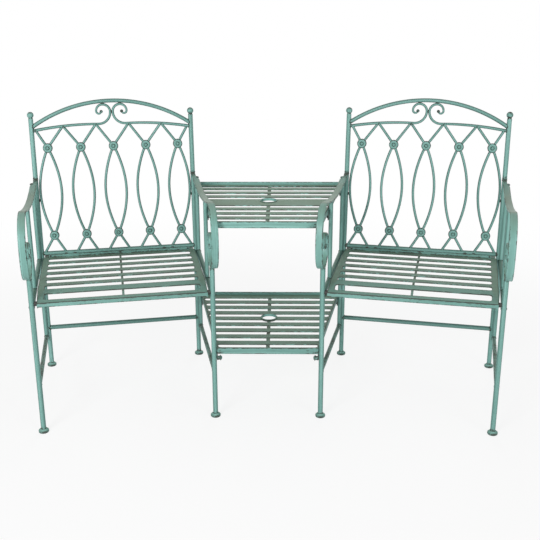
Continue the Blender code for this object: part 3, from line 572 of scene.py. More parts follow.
def scroll_line():
    """Axis of a scroll rail as (distance from the post, height above the bend)."""
    first, second = VOLUTE_BENDS[:2]
    contact = VOLUTE_R + ROD_GAP / 2
    run = HALF - contact - first * (1 + sin(SCROLL_DIP))
    sweep_bend = run / (sin(SCROLL_RISE) + sin(SCROLL_DIP))
    top = arch_height(contact + second) - ARCH_R - VOLUTE_R - ROD_GAP
    climb = sweep_bend * (cos(SCROLL_DIP) - cos(SCROLL_RISE)) + first * cos(SCROLL_DIP) + second
    bends = [(sweep_bend, -SCROLL_RISE - SCROLL_DIP), (first, pi / 2 + SCROLL_DIP)]
    bends += [(radius, pi / 2) for radius in VOLUTE_BENDS[1:]]
    bends.append((VOLUTE_END_BEND, VOLUTE_END_TURN))
    return arcs((0, top - climb), SCROLL_RISE, bends, SCROLL_TURN_STEP)


def thinned(line, step):
    """Drops points of a line that lie closer than a step, and keeps its ends."""
    kept = [line[0]]
    for point in line[1:-1]:
        if (point - kept[-1]).length > step:
            kept.append(point)
    return [*kept, line[-1]]


SCROLL_LINE = scroll_line()


def scroll_rail(sign):
    """Path, radii and rubs of a scroll rail, which is dark round its ball."""
    line = thinned(SCROLL_LINE, SCROLL_STEP)
    straight = HALF - VOLUTE_R - VOLUTE_BENDS[0]
    radii = [SCROLL_R - (SCROLL_R - VOLUTE_R) * min(1.0, point.x / straight) for point in line]
    crest = max(range(len(line)), key=lambda index: line[index].y)
    for index in range(crest, len(line)):
        radii[index] += (CURL_R - VOLUTE_R) * (index - crest) / (len(line) - 1 - crest)
    heading, tip = (line[-1] - line[-2]).normalized(), line.pop()
    radii.pop()
    rubs = [0.0] * len(line)
    for ahead, radius in ball_rings(CURL_R, VOLUTE_BALL_R, VOLUTE_BALL_END, 10):
        line.append(tip + heading * ahead)
        radii.append(radius)
        rubs.append(VOLUTE_BALL_RUB)
    return [Vector((sign * (HALF - point.x), 0, point.y)) for point in line], radii, rubs


for hand, label, sign in EVERY_SIDE:
    bm = blank()
    path, radii, rubs = scroll_rail(sign)
    round_bar(bm, path, SCROLL_R, ROD_SIDES, radii, start=2.2 * sign + (hand == "left") * 1.7, rubs=rubs)
    place(bm, f"{hand}_{label}_scroll_rod", BACKS[hand], ROD_PAINT, "lattice_paint",
          f"{hand}_scroll_rail_{label}")
print("four scroll rods")

# %% [markdown]
# ## Lattice
# Five motifs fill the back. In each of them two rods cross, bow out to an almond and cross again, and a cast
# rosette is riveted over each crossing. The bow is a sine curve, a little fuller than a plain one.
#
# The rosette is turned: a short profile is spun about its axis. The wash of dark paint sits in its groove, so
# the groove's points carry a high `rub`.

# %% Lattice motifs
ROD_R, ROD_LAP = 0.0044, 0.0012
MOTIFS = 5
UPPER_ROSETTE_Z, LOWER_ROSETTE_Z = ARCH_Z - 0.153, BOTTOM_RAIL_Z + 0.062
BOW_HALF, BOW_FULLNESS, BOW_STEPS = 0.036, 0.85, 28
ROD_FOOT_SPREAD = 0.037
PITCH = 2 * (HALF - POST_R - ROD_R - ROD_GAP - BOW_HALF) / (MOTIFS - 1)
ROSETTE_FACE = (        # radius, height and rub from the middle to the rim
    (0.0000, 0.0092, 0.0), (0.0024, 0.0090, 0.0), (0.0044, 0.0082, 0.0), (0.0052, 0.0073, 0.3),
    (0.0058, 0.0064, 1.1), (0.0065, 0.0061, 1.1), (0.0072, 0.0064, 0.3), (0.0082, 0.0069, 0.0),
    (0.0102, 0.0072, 0.0), (0.0132, 0.0071, 0.0), (0.0144, 0.0064, 0.8), (0.0155, 0.0050, 1.4),
    (0.0162, 0.0030, 1.4), (0.0162, 0.0000, 1.0))
ROSETTE = (*ROSETTE_FACE, *((radius, -height, rub) for radius, height, rub in reversed(ROSETTE_FACE[:-1])))


def turned(bm, profile, matrix, steps=32):
    """Spins a profile of (radius, height, rub) about z, and carries it to its place."""
    grain, rub = bm.verts.layers.float_vector[GRAIN], bm.verts.layers.float[RUB]
    verts = [bm.verts.new((radius, 0, height)) for radius, height, _ in profile]
    for vert, (_, _, amount) in zip(verts, profile):
        vert[rub] = amount
    edges = [bm.edges.new(pair) for pair in zip(verts, verts[1:])]
    older = set(bm.verts) - set(verts)
    bmesh.ops.spin(bm, geom=[*verts, *edges], cent=(0, 0, 0), axis=(0, 0, 1), angle=2 * pi, steps=steps,
                   use_merge=True)
    made = [vert for vert in bm.verts if vert not in older]
    bmesh.ops.remove_doubles(bm, verts=made, dist=1e-6)
    made = [vert for vert in bm.verts if vert not in older]
    for vert in made:
        vert[grain] = vert.co
    bmesh.ops.transform(bm, matrix=matrix, verts=made)


def lattice_rod(centre, lean, spread):
    """Path of one rod of a motif, from the scroll rail to the lower bar."""
    high, low = up(UPPER_ROSETTE_Z), up(LOWER_ROSETTE_Z)
    shares = [step / BOW_STEPS for step in range(BOW_STEPS + 1)]
    bow = [(-lean * BOW_HALF * sin(pi * share) ** BOW_FULLNESS, high + (low - high) * share)
           for share in shares]
    reach = HALF - abs(centre + lean * spread)
    top = min(SCROLL_LINE[:len(SCROLL_LINE) // 2], key=lambda point: abs(point.x - reach)).y
    line = [(lean * spread, top), *bow, (lean * ROD_FOOT_SPREAD, up(BOTTOM_RAIL_Z))]
    return [Vector((centre + x, lean * ROD_LAP, z)) for x, z in line]


for hand in HANDS:
    for index in range(MOTIFS):
        offset = index - (MOTIFS - 1) / 2
        bm = blank()
        for lean in (-1, 1):
            spread = BOW_HALF if offset * lean == (MOTIFS - 1) / 2 else PITCH / 2
            path = lattice_rod(offset * PITCH, lean, spread)
            round_bar(bm, path, ROD_R, ROD_SIDES, start=index * 1.3 + lean * 0.4 + (hand == "left") * 7.7)
        for height in (UPPER_ROSETTE_Z, LOWER_ROSETTE_Z):
            facing = Matrix.Translation((offset * PITCH, 0, up(height))) @ Matrix.Rotation(pi / 2, 4, 'X')
            turned(bm, ROSETTE, facing)
        place(bm, f"{hand}_lattice_motif_{index + 1}", BACKS[hand], ROD_PAINT, "lattice_paint",
              f"{hand}_lattice_{index + 1}", sharp=60.0)
print(f"{2 * MOTIFS} lattice motifs")

# %% [markdown]
# ## Armrests
# An armrest is a flat bar: a narrow neck at the back post, a long saddle, a brow, a bow down to the front
# leg, and a volute that rolls inward. Its side view is again a chain of arcs. The section is a rectangle with
# rounded corners, and it has two extra points near each edge, so that the rub stays along the edges.

# %% Armrests
ARM_WIDTH, ARM_THICK, ARM_CORNER = 0.0222, 0.005, 0.0021
ARM_SHIFT = 0.0015          # inner edge outward of the leg's inner side
ARM_EDGE = 0.0036           # breadth of the rubbed strip
ARM_HEADING, SADDLE_TURN = radians(-11.5), radians(24.5)
CHIN_BACK = 0.0075
BROW, FRONT, CHIN = (0.085, radians(-88.0)), (0.165, radians(-30.0)), (0.060, radians(-75.0))
ROLL = ((0.058, radians(-90.0)), (0.044, radians(-90.0)), (0.024, radians(-90.0)), (0.020, radians(-140.0)))
NECK_WIDTH, NECK_FORWARD, SHOULDER_L = 0.0138, 0.036, 0.010
NECK_DARK, NECK_SCORCH = 0.070, 1.4     # reach and strength of the dark patch from the weld along the neck
ARM_STEP, SADDLE_STEP, SHOULDER_STEPS = radians(5.0), radians(0.8), 8
ARM_WORN = (0.0, 0.62)      # rub of its faces and of its edges


def saddle_line():
    """Back stretch of the arm's side view as (forward, height)."""
    rear, heading = -(ARM_REAR_Z - BEND_Z) * tan(RAKE), ARM_HEADING + SADDLE_TURN
    front_run = arcs((0, 0), heading, [BROW, FRONT, CHIN], ARM_STEP)[-1].x
    radius = (REACH - CHIN_BACK - front_run - rear) / (sin(heading) - sin(ARM_HEADING))
    return arcs((rear, ARM_REAR_Z), ARM_HEADING, [(radius, SADDLE_TURN)], SADDLE_STEP)


SADDLE = saddle_line()
SCROLL_FRONT = arcs(SADDLE[-1], ARM_HEADING + SADDLE_TURN, [BROW, FRONT, CHIN, *ROLL], ARM_STEP)


def arm_line():
    """Whole side view, with a few more points where the neck widens."""
    line = [point for point in SADDLE if not NECK_FORWARD < point.x < NECK_FORWARD + SHOULDER_L]
    first = next(index for index, point in enumerate(line) if point.x > NECK_FORWARD)
    before, after = line[first - 1], line[first]
    turns = [pi / 2 * step / SHOULDER_STEPS for step in range(SHOULDER_STEPS + 1)]
    shares = [(NECK_FORWARD + SHOULDER_L * (1 - cos(turn)) - before.x) / (after.x - before.x) for turn in turns]
    line[first:first] = [before.lerp(after, share) for share in shares if share < 1]
    return line + SCROLL_FRONT[1:]


def arm_share(index, point):
    """Width of the bar at a point, as a share of its full width."""
    share = min(1.0, max(0.0, (point.x - NECK_FORWARD) / SHOULDER_L)) if index < len(SADDLE) else 1.0
    return (NECK_WIDTH + (ARM_WIDTH - NECK_WIDTH) * sqrt(1 - (1 - share) ** 2)) / ARM_WIDTH


def flat_section(bm, width, thick, corner, strip):
    """Ring of a flat bar's section: rounded corners, and points near each edge on its broad sides."""
    older = set(bm.verts)
    half, high, inner = width / 2, thick / 2, width / 2 - strip
    outline = [(-half, -high), (-inner, -high), (inner, -high), (half, -high),
               (half, high), (inner, high), (-inner, high), (-half, high)]
    face = bm.faces.new([bm.verts.new((x, y, 0)) for x, y in outline])
    corners = [vert for vert in face.verts if abs(vert.co.x) > inner + strip / 2]
    bmesh.ops.bevel(bm, geom=corners, offset=corner, offset_type='OFFSET', segments=4, profile=0.5,
                    affect='VERTICES', material=-1)
    ring = [vert for vert in bm.verts if vert not in older]
    drawn = [face for face in bm.faces if set(face.verts) <= set(ring)]
    bmesh.ops.delete(bm, geom=drawn, context='FACES_ONLY')
    return ring


def flat_bar(bm, path, width, thick, side, shares=None, corner=ARM_CORNER, strip=ARM_EDGE, start=0.0,
             end_rub=1.0, worn=(0.0, 1.0), rubs=None):
    """Flat bar along a path. Its width lies along side. worn is the rub of its faces and of its edges."""
    section = flat_section(bm, width, thick, corner, strip)
    sizes = [(share, 1.0) for share in shares or [1.0] * len(path)]
    sweep(bm, section, path, sizes, side, end_rub, start=start, rubs=rubs,
          edge_rub=lambda local: worn[abs(local.x) > width / 2 - strip * 0.6])


for hand, label, sign in EVERY_SIDE:
    line = arm_line()
    shares = [arm_share(index, point) for index, point in enumerate(line)]
    inner_edge = HALF - POST_R + ARM_SHIFT
    path = [Vector((sign * (inner_edge + ARM_WIDTH * share / 2), -point.x, point.y))
            for point, share in zip(line, shares)]
    bm = blank()
    rubs = [max(0.0, NECK_SCORCH * (1 - (point - path[0]).length / NECK_DARK)) for point in path]
    flat_bar(bm, path, ARM_WIDTH, ARM_THICK, Vector((1, 0, 0)), shares,
             start=5.0 * sign + (hand == "left") * 2.9, worn=ARM_WORN, rubs=rubs)
    place(bm, f"{hand}_{label}_scrolled_arm", STANDS[hand], ARM_PAINT, "frame_paint",
          f"{hand}_armrest_{label}", sharp=60.0)
print(f"four armrests of {len(arm_line())} rings")

# %% [markdown]
# ## Legs, stays and rails of the side frames
# Under each armrest stand a front leg, an arm post and a stay behind. A rail carries the seat, and low down a
# runner goes from the stay to the leg and rises on the way. All are straight tubes. Each is run a little into
# its neighbour, where the weld hides the end.

# %% Side frames
STAY_R, STAY_OUT = 0.007, 0.009
STAY_FORWARD = sqrt((POST_R + STAY_R + ROD_GAP) ** 2 - STAY_OUT ** 2)
SEAT_RAIL_R, SEAT_RAIL_REAR_Z, SEAT_RAIL_FRONT_Z = 0.008, 0.4065, 0.415
ARM_POST_R, ARM_POST_FORWARD, ARM_POST_OUT = 0.00675, 0.335, 0.002
ARM_POST_SHARE = (ARM_POST_FORWARD - STAY_FORWARD) / (REACH - STAY_FORWARD)   # its place along the rail
RUNNER_REAR_Z, RUNNER_FRONT_Z = 0.120, 0.160
RUNNER_RUB = 0.55           # the runners are rubbed darker than the uprights


def arm_above(forward):
    """Middle of the armrest's thickness above a forward distance."""
    return min(SADDLE, key=lambda point: abs(point.x - forward)).y


def side_frame(sign):
    """Name, node, paths and radius of each piece of one side."""
    out, x = sign * (HALF + STAY_OUT), sign * HALF
    chin = min(point.y for point in SCROLL_FRONT)
    rail_z = SEAT_RAIL_REAR_Z + (SEAT_RAIL_FRONT_Z - SEAT_RAIL_REAR_Z) * ARM_POST_SHARE
    arm_x = sign * (HALF + ARM_POST_OUT)
    leg = [(x, -REACH, FOOT_H), (x, -REACH, chin)]
    post = [(arm_x, -ARM_POST_FORWARD, height) for height in (rail_z, arm_above(ARM_POST_FORWARD))]
    rail = [(out, -STAY_FORWARD, SEAT_RAIL_REAR_Z), (x, -REACH, SEAT_RAIL_FRONT_Z)]
    stay = [(out, -STAY_FORWARD, height) for height in (RUNNER_REAR_Z - STAY_R, arm_above(STAY_FORWARD))]
    runner = [(out, -STAY_FORWARD, RUNNER_REAR_Z), (x, -REACH, RUNNER_FRONT_Z)]
    yield "front_upright", "front_leg", [leg], POST_R
    yield "arm_upright", "arm_post", [post], ARM_POST_R
    yield "seat_bearer", "seat_rail", [rail], SEAT_RAIL_R
    yield "stay_and_runner", "side_stay", [stay, runner], STAY_R


for hand, label, sign in EVERY_SIDE:
    for number, (name, node, paths, radius) in enumerate(side_frame(sign)):
        bm = blank()
        for level, path in enumerate(paths):
            round_bar(bm, path, radius, start=number * 2.1 + sign * 0.9 + (hand == "left") * 6.1,
                      rubs=[RUNNER_RUB * level] * len(eased(path)))
        place(bm, f"{hand}_{label}_{name}", STANDS[hand], FRAME_PAINT, "frame_paint",
              f"{hand}_{node}_{label}")
print("sixteen pieces of the side frames")

# %% [markdown]
# ## Feet and parasol rings
# The feet are turned glides, and the rings in the table are turned bushes with a thin flange. Both are spun
# from a profile, which is rounded where a hand or the ground has worn it.

# %% Feet and rings
FOOT_PROFILE = (
    (0.0000, 0.0120, 0.5), (0.0085, 0.0120, 1.0), (0.0098, 0.0119, 0.7), (0.0105, 0.0113, 0.3),
    (0.0112, 0.0098, 0.1), (0.0135, 0.0082, 0.1), (0.0152, 0.0074, 0.5), (0.0160, 0.0060, 0.9),
    (0.0160, 0.0022, 0.6), (0.0155, 0.0006, 1.0), (0.0149, 0.0000, 1.0), (0.0000, 0.0000, 1.0))
RING_R, RING_BODY_R, RING_BORE_R = 0.029, 0.027, 0.025
RING_TOP, RING_LOW = 0.0023, -0.006

for hand, label, sign in EVERY_SIDE:
    for row, y in (("rear", 0.0), ("front", -REACH)):
        bm = blank()
        turned(bm, FOOT_PROFILE, Matrix.Translation((sign * HALF, y, 0)))
        place(bm, f"{hand}_{label}_{row}_glide", STANDS[hand], FOOT_PAINT, "foot_paint",
              f"{hand}_{row}_foot_{label}")

RING_PROFILE = (
    (RING_BORE_R, RING_LOW, 0.6), (RING_BORE_R, RING_TOP - 0.0006, 0.3),
    (RING_BORE_R + 0.0002, RING_TOP - 0.0002, 0.8), (RING_BORE_R + 0.0007, RING_TOP, 0.6),
    (RING_R - 0.0016, RING_TOP, 0.0), (RING_R - 0.0005, RING_TOP - 0.0004, 0.6),
    (RING_R, RING_TOP - 0.0011, 0.9), (RING_R, ROD_GAP, 0.9), (RING_BODY_R, ROD_GAP, 1.0),
    (RING_BODY_R, RING_LOW, 1.0), (RING_BORE_R, RING_LOW, 0.6))
for tier in ("upper", "lower"):
    low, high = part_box(f"{tier}_parasol_ring")
    centre = ((low.x + high.x) / 2, (low.y + high.y) / 2, high.z - RING_TOP)
    bm = blank()
    turned(bm, RING_PROFILE, Matrix.Translation(centre), 64)
    place(bm, f"{tier}_parasol_bush", Matrix.Identity(4), TRAY_PAINT, "frame_paint", f"{tier}_parasol_ring")
print("eight glides and two bushes")

# %% [markdown]
# ## Slotted sheets
# The seats and the trays are sheet with rows of slots punched across it. Cutting each slot with a boolean
# would leave rough corners. It is cleaner to draw the sheet's outline and every slot as loops of edges, their
# corners rounded, and to fill what lies between them. Then the sheet gets a narrow strip along all its
# borders, which takes the rub, and at last its thickness.

# %% Helpers for sheets
SLOT_CORNER = 0.008
SHEET_THICK, SHEET_ROUND = 0.003, 0.0007
SHEET_STRIP = 0.0027        # breadth of the rubbed border of a tray
STRAP_CORNER, STRAP_EDGE = 0.0006, 0.0025


def loop(bm, points, corner=0.0, rounded=None):
    """Closed loop of edges on the floor's plane. The points at the places in rounded get round corners."""
    face = bm.faces.new([bm.verts.new((x, y, 0)) for x, y in points])
    verts = list(face.verts)
    if corner:
        picked = verts if rounded is None else [verts[index] for index in rounded]
        bmesh.ops.bevel(bm, geom=picked, offset=corner, offset_type='OFFSET', segments=5, profile=0.5,
                        affect='VERTICES', material=-1)
    bmesh.ops.delete(bm, geom=bm.faces[:], context='FACES_ONLY')


def face_up(bm):
    """Makes the faces of an open sheet agree, and look up on the whole."""
    bmesh.ops.recalc_face_normals(bm, faces=bm.faces)
    if sum(face.normal.z * face.calc_area() for face in bm.faces) < 0:
        bmesh.ops.reverse_faces(bm, faces=bm.faces)


def filled(bm, strip):
    """Fills the sheet between its outline and its slots, facing up, and marks a strip along them as rubbed."""
    rub = bm.verts.layers.float[RUB]
    bmesh.ops.triangle_fill(bm, use_beauty=True, use_dissolve=False, edges=bm.edges[:], normal=(0, 0, 1))
    face_up(bm)
    bmesh.ops.inset_region(bm, faces=bm.faces[:], thickness=strip, use_boundary=True, use_even_offset=False)
    for vert in bm.verts:
        vert[rub] = 1.0 if any(edge.is_boundary for edge in vert.link_edges) else 0.0


def thickened(bm):
    """Gives a sheet its thickness below its faces, and rounds its sharp edges."""
    grain = bm.verts.layers.float_vector[GRAIN]
    bmesh.ops.solidify(bm, geom=bm.faces[:], thickness=SHEET_THICK)
    sharp = [edge for edge in bm.edges if edge.is_manifold and edge.calc_face_angle() > radians(50)]
    bmesh.ops.bevel(bm, geom=sharp, offset=SHEET_ROUND, offset_type='OFFSET', segments=2, profile=0.5,
                    affect='EDGES', clamp_overlap=True, material=-1)
    for vert in bm.verts:
        vert[grain] = vert.co


def strap(bm, path, width, thick, side=Vector((1, 0, 0)), worn=(0.0, 1.0)):
    """Thin flat bar with small corners."""
    flat_bar(bm, eased(path), width, thick, side, corner=STRAP_CORNER, strip=min(STRAP_EDGE, width / 4),
             worn=worn)


print("sheet helpers are ready")

# %% [markdown]
# ## Seats
# A seat is one pressed sheet. It rises a little to the front and rolls down at the last slat, its back edge
# is turned up between its side strips, and its front and sides are turned down. A strap under the slats ties
# them in the middle, and a round boss at each front corner holds it off the leg. The flat sheet is filled
# first, then lifted to its slope, and its edges are folded by extruding them.

# %% Pressed seats
SEAT_CLEAR, SEAT_FLARE, SEAT_OVERHANG = 0.008, 0.011, 0.012
SEAT_REAR, SEAT_REAR_Z = 0.010, 0.4155
SEAT_SLOPE, SEAT_FRONT_SLOPE = 0.068, -0.127
SEAT_LIP, SEAT_APRON, SEAT_SKIRT = 0.010, 0.014, 0.016
# The side skirts are darkened nearly black at the crease and beside it, which draws a dark line along the
# seat's sides.
LIP_RUBS, APRON_RUBS, SKIRT_DARKENING = (1.0, 0.5), (1.4, 0.35), (2.4, 1.0)      # at the crease and beside it
SEAT_SIDE, SEAT_REAR_FLANGE, SEAT_FRONT_RAIL = 0.020, 0.024, 0.019
SEAT_SLATS, SEAT_SLAT = 6, 0.0305
SEAT_STRAP, SEAT_STRAP_THICK, SEAT_STRAP_INSET = 0.007, 0.0045, 0.001
# The strap is darkened nearly to bare metal on its faces: wear, and painted shade under the slats.
SEAT_STRAP_SHADE_AND_WEAR = (0.8, 0.95)
SEAT_EDGE = 0.0036          # breadth of its rubbed border
TAB_NECK, TAB_REACH, TAB_INSET = 0.0015, 0.0245, 0.0048     # corner tabs, which go under the lower back bar
TAB_SLOPE = 0.15
BOSS_R, BOSS_DROP, BOSS_ROOT = 0.005, 0.007, 0.002
NEAR = 1e-5                 # for points that should lie on a line
SEAT_FRONT = REACH + SEAT_OVERHANG


def slots(first, last, count, slat):
    """Start and end of each slot between two places: the slots share what the slats leave."""
    slot = (last - first - count * slat) / (count + 1)
    return [(first + (slot + slat) * index, first + (slot + slat) * index + slot) for index in range(count + 1)]


SEAT_SLOTS = slots(SEAT_REAR + SEAT_REAR_FLANGE, SEAT_FRONT - SEAT_FRONT_RAIL, SEAT_SLATS, SEAT_SLAT)
SEAT_ROLL = SEAT_SLOTS[-2][1]


def seat_height(forward):
    """Height of the sheet: it rises to the last slat and falls in front of it."""
    rise = SEAT_SLOPE * (min(forward, SEAT_ROLL) - SEAT_REAR)
    return SEAT_REAR_Z + rise + SEAT_FRONT_SLOPE * max(0.0, forward - SEAT_ROLL)


def seat_half(forward, inset=0.0):
    """Half width of the seat, which is a little wider at the back."""
    flare = SEAT_FLARE * (SEAT_FRONT - forward) / (SEAT_FRONT - SEAT_REAR)
    return HALF - POST_R - SEAT_CLEAR + flare - inset


def fold(bm, edges, drop, crease, wash):
    """Turns a border of the sheet up or down, darkened at the crease, a little beside it, and at its edge."""
    rub = bm.verts.layers.float[RUB]
    for vert in {vert for edge in edges for vert in edge.verts}:
        vert[rub] = crease
    strip = min(SEAT_EDGE, abs(drop) / 3) * (1 if drop > 0 else -1)
    for step, amount in ((strip, wash), (drop - 2 * strip, 0.0), (strip, 1.0)):
        verts = extruded(bm, edges)
        edges = loop_edges(verts)
        bmesh.ops.translate(bm, vec=(0, 0, step), verts=verts)
        for vert in verts:
            vert[rub] = amount


def corner_tab(bm, edge, lip_half):
    """Draws a back corner of the sheet out into a tab, narrow enough to pass the post."""
    rub = bm.verts.layers.float[RUB]
    for step, inset, amount in ((TAB_NECK, TAB_INSET, 0.4), (TAB_REACH, 0.0, 0.8)):
        verts = extruded(bm, [edge])
        edge = loop_edges(verts)[0]
        bmesh.ops.translate(bm, vec=(0, step, TAB_SLOPE * step), verts=verts)
        for vert in verts:
            vert[rub] = amount
            if abs(vert.co.x) > lip_half + 1e-4:
                vert.co.x -= inset * (1 if vert.co.x > 0 else -1)


def seat_corners(near, far, inset=0.0):
    return [(sign * seat_half(forward, inset), -forward)
            for sign, forward in ((-1, near), (1, near), (1, far), (-1, far))]


def pressed_seat():
    """The whole seat: sheet, folds, tabs, strap and bosses."""
    bm = blank()
    lip_half = seat_half(SEAT_REAR, SEAT_SIDE)
    rear_left, *others = seat_corners(SEAT_REAR, SEAT_FRONT)
    loop(bm, [rear_left, (-lip_half, -SEAT_REAR), (lip_half, -SEAT_REAR), *others])
    for near, far in SEAT_SLOTS:
        loop(bm, seat_corners(near, far, SEAT_SIDE), SLOT_CORNER)
    filled(bm, SEAT_EDGE)
    bmesh.ops.bisect_plane(bm, geom=[*bm.verts, *bm.edges, *bm.faces], dist=1e-6, plane_co=(0, -SEAT_ROLL, 0),
                           plane_no=(0, 1, 0))
    for vert in bm.verts:
        vert.co.z = seat_height(-vert.co.y)
    middles = {edge: (edge.verts[0].co + edge.verts[1].co) / 2 for edge in bm.edges if edge.is_boundary}
    for off, drop, rubs in (
            (lambda point: abs(point.y + SEAT_REAR) + abs(point.x), SEAT_LIP, LIP_RUBS),
            (lambda point: point.y + SEAT_FRONT, -SEAT_APRON, APRON_RUBS),
            (lambda point: abs(point.x) - seat_half(-point.y), -SEAT_SKIRT, SKIRT_DARKENING)):
        fold(bm, [edge for edge, middle in middles.items() if abs(off(middle)) < NEAR], drop, *rubs)
    for edge, middle in middles.items():
        if abs(middle.y + SEAT_REAR) < NEAR and abs(middle.x) > lip_half:
            corner_tab(bm, edge, lip_half)
    face_up(bm)
    thickened(bm)
    spine = [(0, -forward, seat_height(forward) - SHEET_THICK / 2 - SEAT_STRAP_THICK / 2)
             for forward in (SEAT_REAR + SEAT_STRAP_INSET, SEAT_ROLL, SEAT_FRONT - SEAT_STRAP_INSET)]
    strap(bm, spine, SEAT_STRAP, SEAT_STRAP_THICK, worn=SEAT_STRAP_SHADE_AND_WEAR)
    height = seat_height(REACH) - BOSS_DROP
    for sign in (-1, 1):
        across = (seat_half(REACH) - BOSS_ROOT, HALF - POST_R * 0.5)
        round_bar(bm, [(sign * x, -REACH, height) for x in across], BOSS_R)
    return bm


for hand in HANDS:
    place(pressed_seat(), f"{hand}_pressed_seat", STANDS[hand], SEAT_PAINT, "sheet_paint", f"{hand}_seat_panel")
print(f"two seats with {len(SEAT_SLOTS)} slots")

# %% [markdown]
# ## Table trays
# Each tier of the table is a frame of flat bar on edge with a slotted sheet inside it, set below the frame's
# top. The frame just clears the uprights of the two chairs, so its sides slant. Ears below it are bolted to
# them. The bush of the parasol goes through the fourth slat from the back, and its hole runs into the slots
# beside that slat. In the upper tier the slot ahead of the bush isn't punched.
#
# A hole that runs into a slot could be two loops, but then they would cross. So the outline of the slots and
# the hole together is drawn as one loop, with arcs of the hole's circle between the corners of the slots.

# %% Table trays
TRAY_BAR_H, TRAY_BAR_T, TRAY_SIDE = 0.020, 0.003, 0.006
TRAY_BAR_CORNER, TRAY_BAR_EDGE, TRAY_WELD_RUB = 0.0008, 0.003, 0.5
TRAY_LIP = 0.010            # frame above the slats
TRAY_SLATS, TRAY_SLAT, RING_SLAT = 8, 0.029, 4
# The straps are darkened nearly to bare metal on their faces: wear, and painted shade under the slats.
TRAY_STRAP, TRAY_STRAP_THICK, TRAY_STRAP_SHADE_AND_WEAR = 0.012, 0.0045, (0.75, 0.95)
TRAY_BEND = 0.004           # corner of the frame
TRAY_SHADOW_REACH, TRAY_SHADOW_RUB = 0.040, 0.75    # reach and strength of the painted shadow of the arms beside its front corners
EAR_AHEAD, EAR_BEHIND, EAR_DROP, EAR_INSET = 0.004, 0.010, 0.022, 0.0005
FLANGES = {"upper": (0.0203, 0.0415), "lower": (0.0365, 0.0275)}    # sheet behind and ahead of the slots
ENDS = {tier: (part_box(f"{tier}_table_tray")[1].y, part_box(f"{tier}_table_tray")[0].y) for tier in FLANGES}
BORE_R = RING_BODY_R + ROD_GAP
ring_low, ring_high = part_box("lower_parasol_ring")
RING_Y = (ring_low.y + ring_high.y) / 2


def upright(forward, out):
    """World place of an upright on the inner side of the right chair."""
    return STANDS["right"] @ Vector((-(HALF + out), -forward, 0))


def tray_side(holders):
    """Half width of a tray at y, less an inset: a line that just clears two uprights."""
    (rear, rear_r), (front, front_r) = holders
    slant = (rear.x - front.x) / (rear - front).length
    shift = 1 / sqrt(1 - slant ** 2)
    rear_x, front_x = (rear.x - (rear_r + ROD_GAP) * shift, front.x - (front_r + ROD_GAP) * shift)
    slope = (rear_x - front_x) / (rear.y - front.y)
    return lambda y, inset=0.0: rear_x + slope * (y - rear.y) - inset * shift


def bent_corner(before, corner, after, radius, count=5):
    """Points of a round bend at the corner of a path."""
    back, ahead = (before - corner).normalized(), (after - corner).normalized()
    half = back.angle(ahead) / 2
    centre = corner + (back + ahead).normalized() * radius / sin(half)
    first, last = (corner + way * radius / tan(half) - centre for way in (back, ahead))
    return [centre + first.slerp(last, index / count) * radius for index in range(count + 1)]


def broken(path, length):
    """A path with two more points on each long straight, a length away from its ends."""
    points = path[:1]
    for before, after in zip(path, path[1:]):
        step = (after - before).normalized() * length
        if (after - before).length > EASED_ROOM * length:
            points += [before + step, after - step]
        points.append(after)
    return points


def tray_frame(bm, half_width, top, ends, holders):
    """Flat bar on edge, bent round the tray and welded behind, with an ear next to each upright."""
    inset, level = TRAY_BAR_T / 2, top - TRAY_BAR_H / 2
    rear, front = ends[0] - inset, ends[1] + inset
    corners = [Vector((sign * half_width(y, inset), y, level))
               for sign, y in ((1, rear), (1, front), (-1, front), (-1, rear))]
    weld = Vector((0, rear, level))
    stops = [weld, *corners, weld]
    path = [weld]
    for before, corner, after in zip(stops, stops[1:], stops[2:]):
        path += bent_corner(before, corner, after, TRAY_BEND)
    path = broken(eased([*path, weld]), TRAY_SHADOW_REACH)
    # Painted shadow: the bar darkens towards its two front corners, where the arms shade it.
    rubs = [max(0.0, TRAY_SHADOW_RUB - min((point - corner).length for corner in corners[1:3]) / TRAY_SHADOW_REACH)
            for point in path]
    flat_bar(bm, path, TRAY_BAR_H, TRAY_BAR_T, Vector((0, 0, 1)), corner=TRAY_BAR_CORNER, strip=TRAY_BAR_EDGE,
             end_rub=TRAY_WELD_RUB, rubs=rubs)
    for holder, _ in holders:
        for sign in (-1, 1):
            y = holder.y + (EAR_BEHIND - EAR_AHEAD) / 2
            x = sign * half_width(y, inset)
            slant = Vector((sign * (half_width(y + 0.01) - half_width(y)), 0.01, 0))
            strap(bm, [(x, y, level), (x, y, top - TRAY_BAR_H - EAR_DROP)], EAR_AHEAD + EAR_BEHIND,
                  TRAY_BAR_T - 2 * EAR_INSET, slant)


def bore_arc(start, end, count):
    """Points of the hole's circle between two angles."""
    turns = [start + (end - start) * index / count for index in range(count + 1)]
    return [(BORE_R * cos(turn), RING_Y + BORE_R * sin(turn)) for turn in turns]


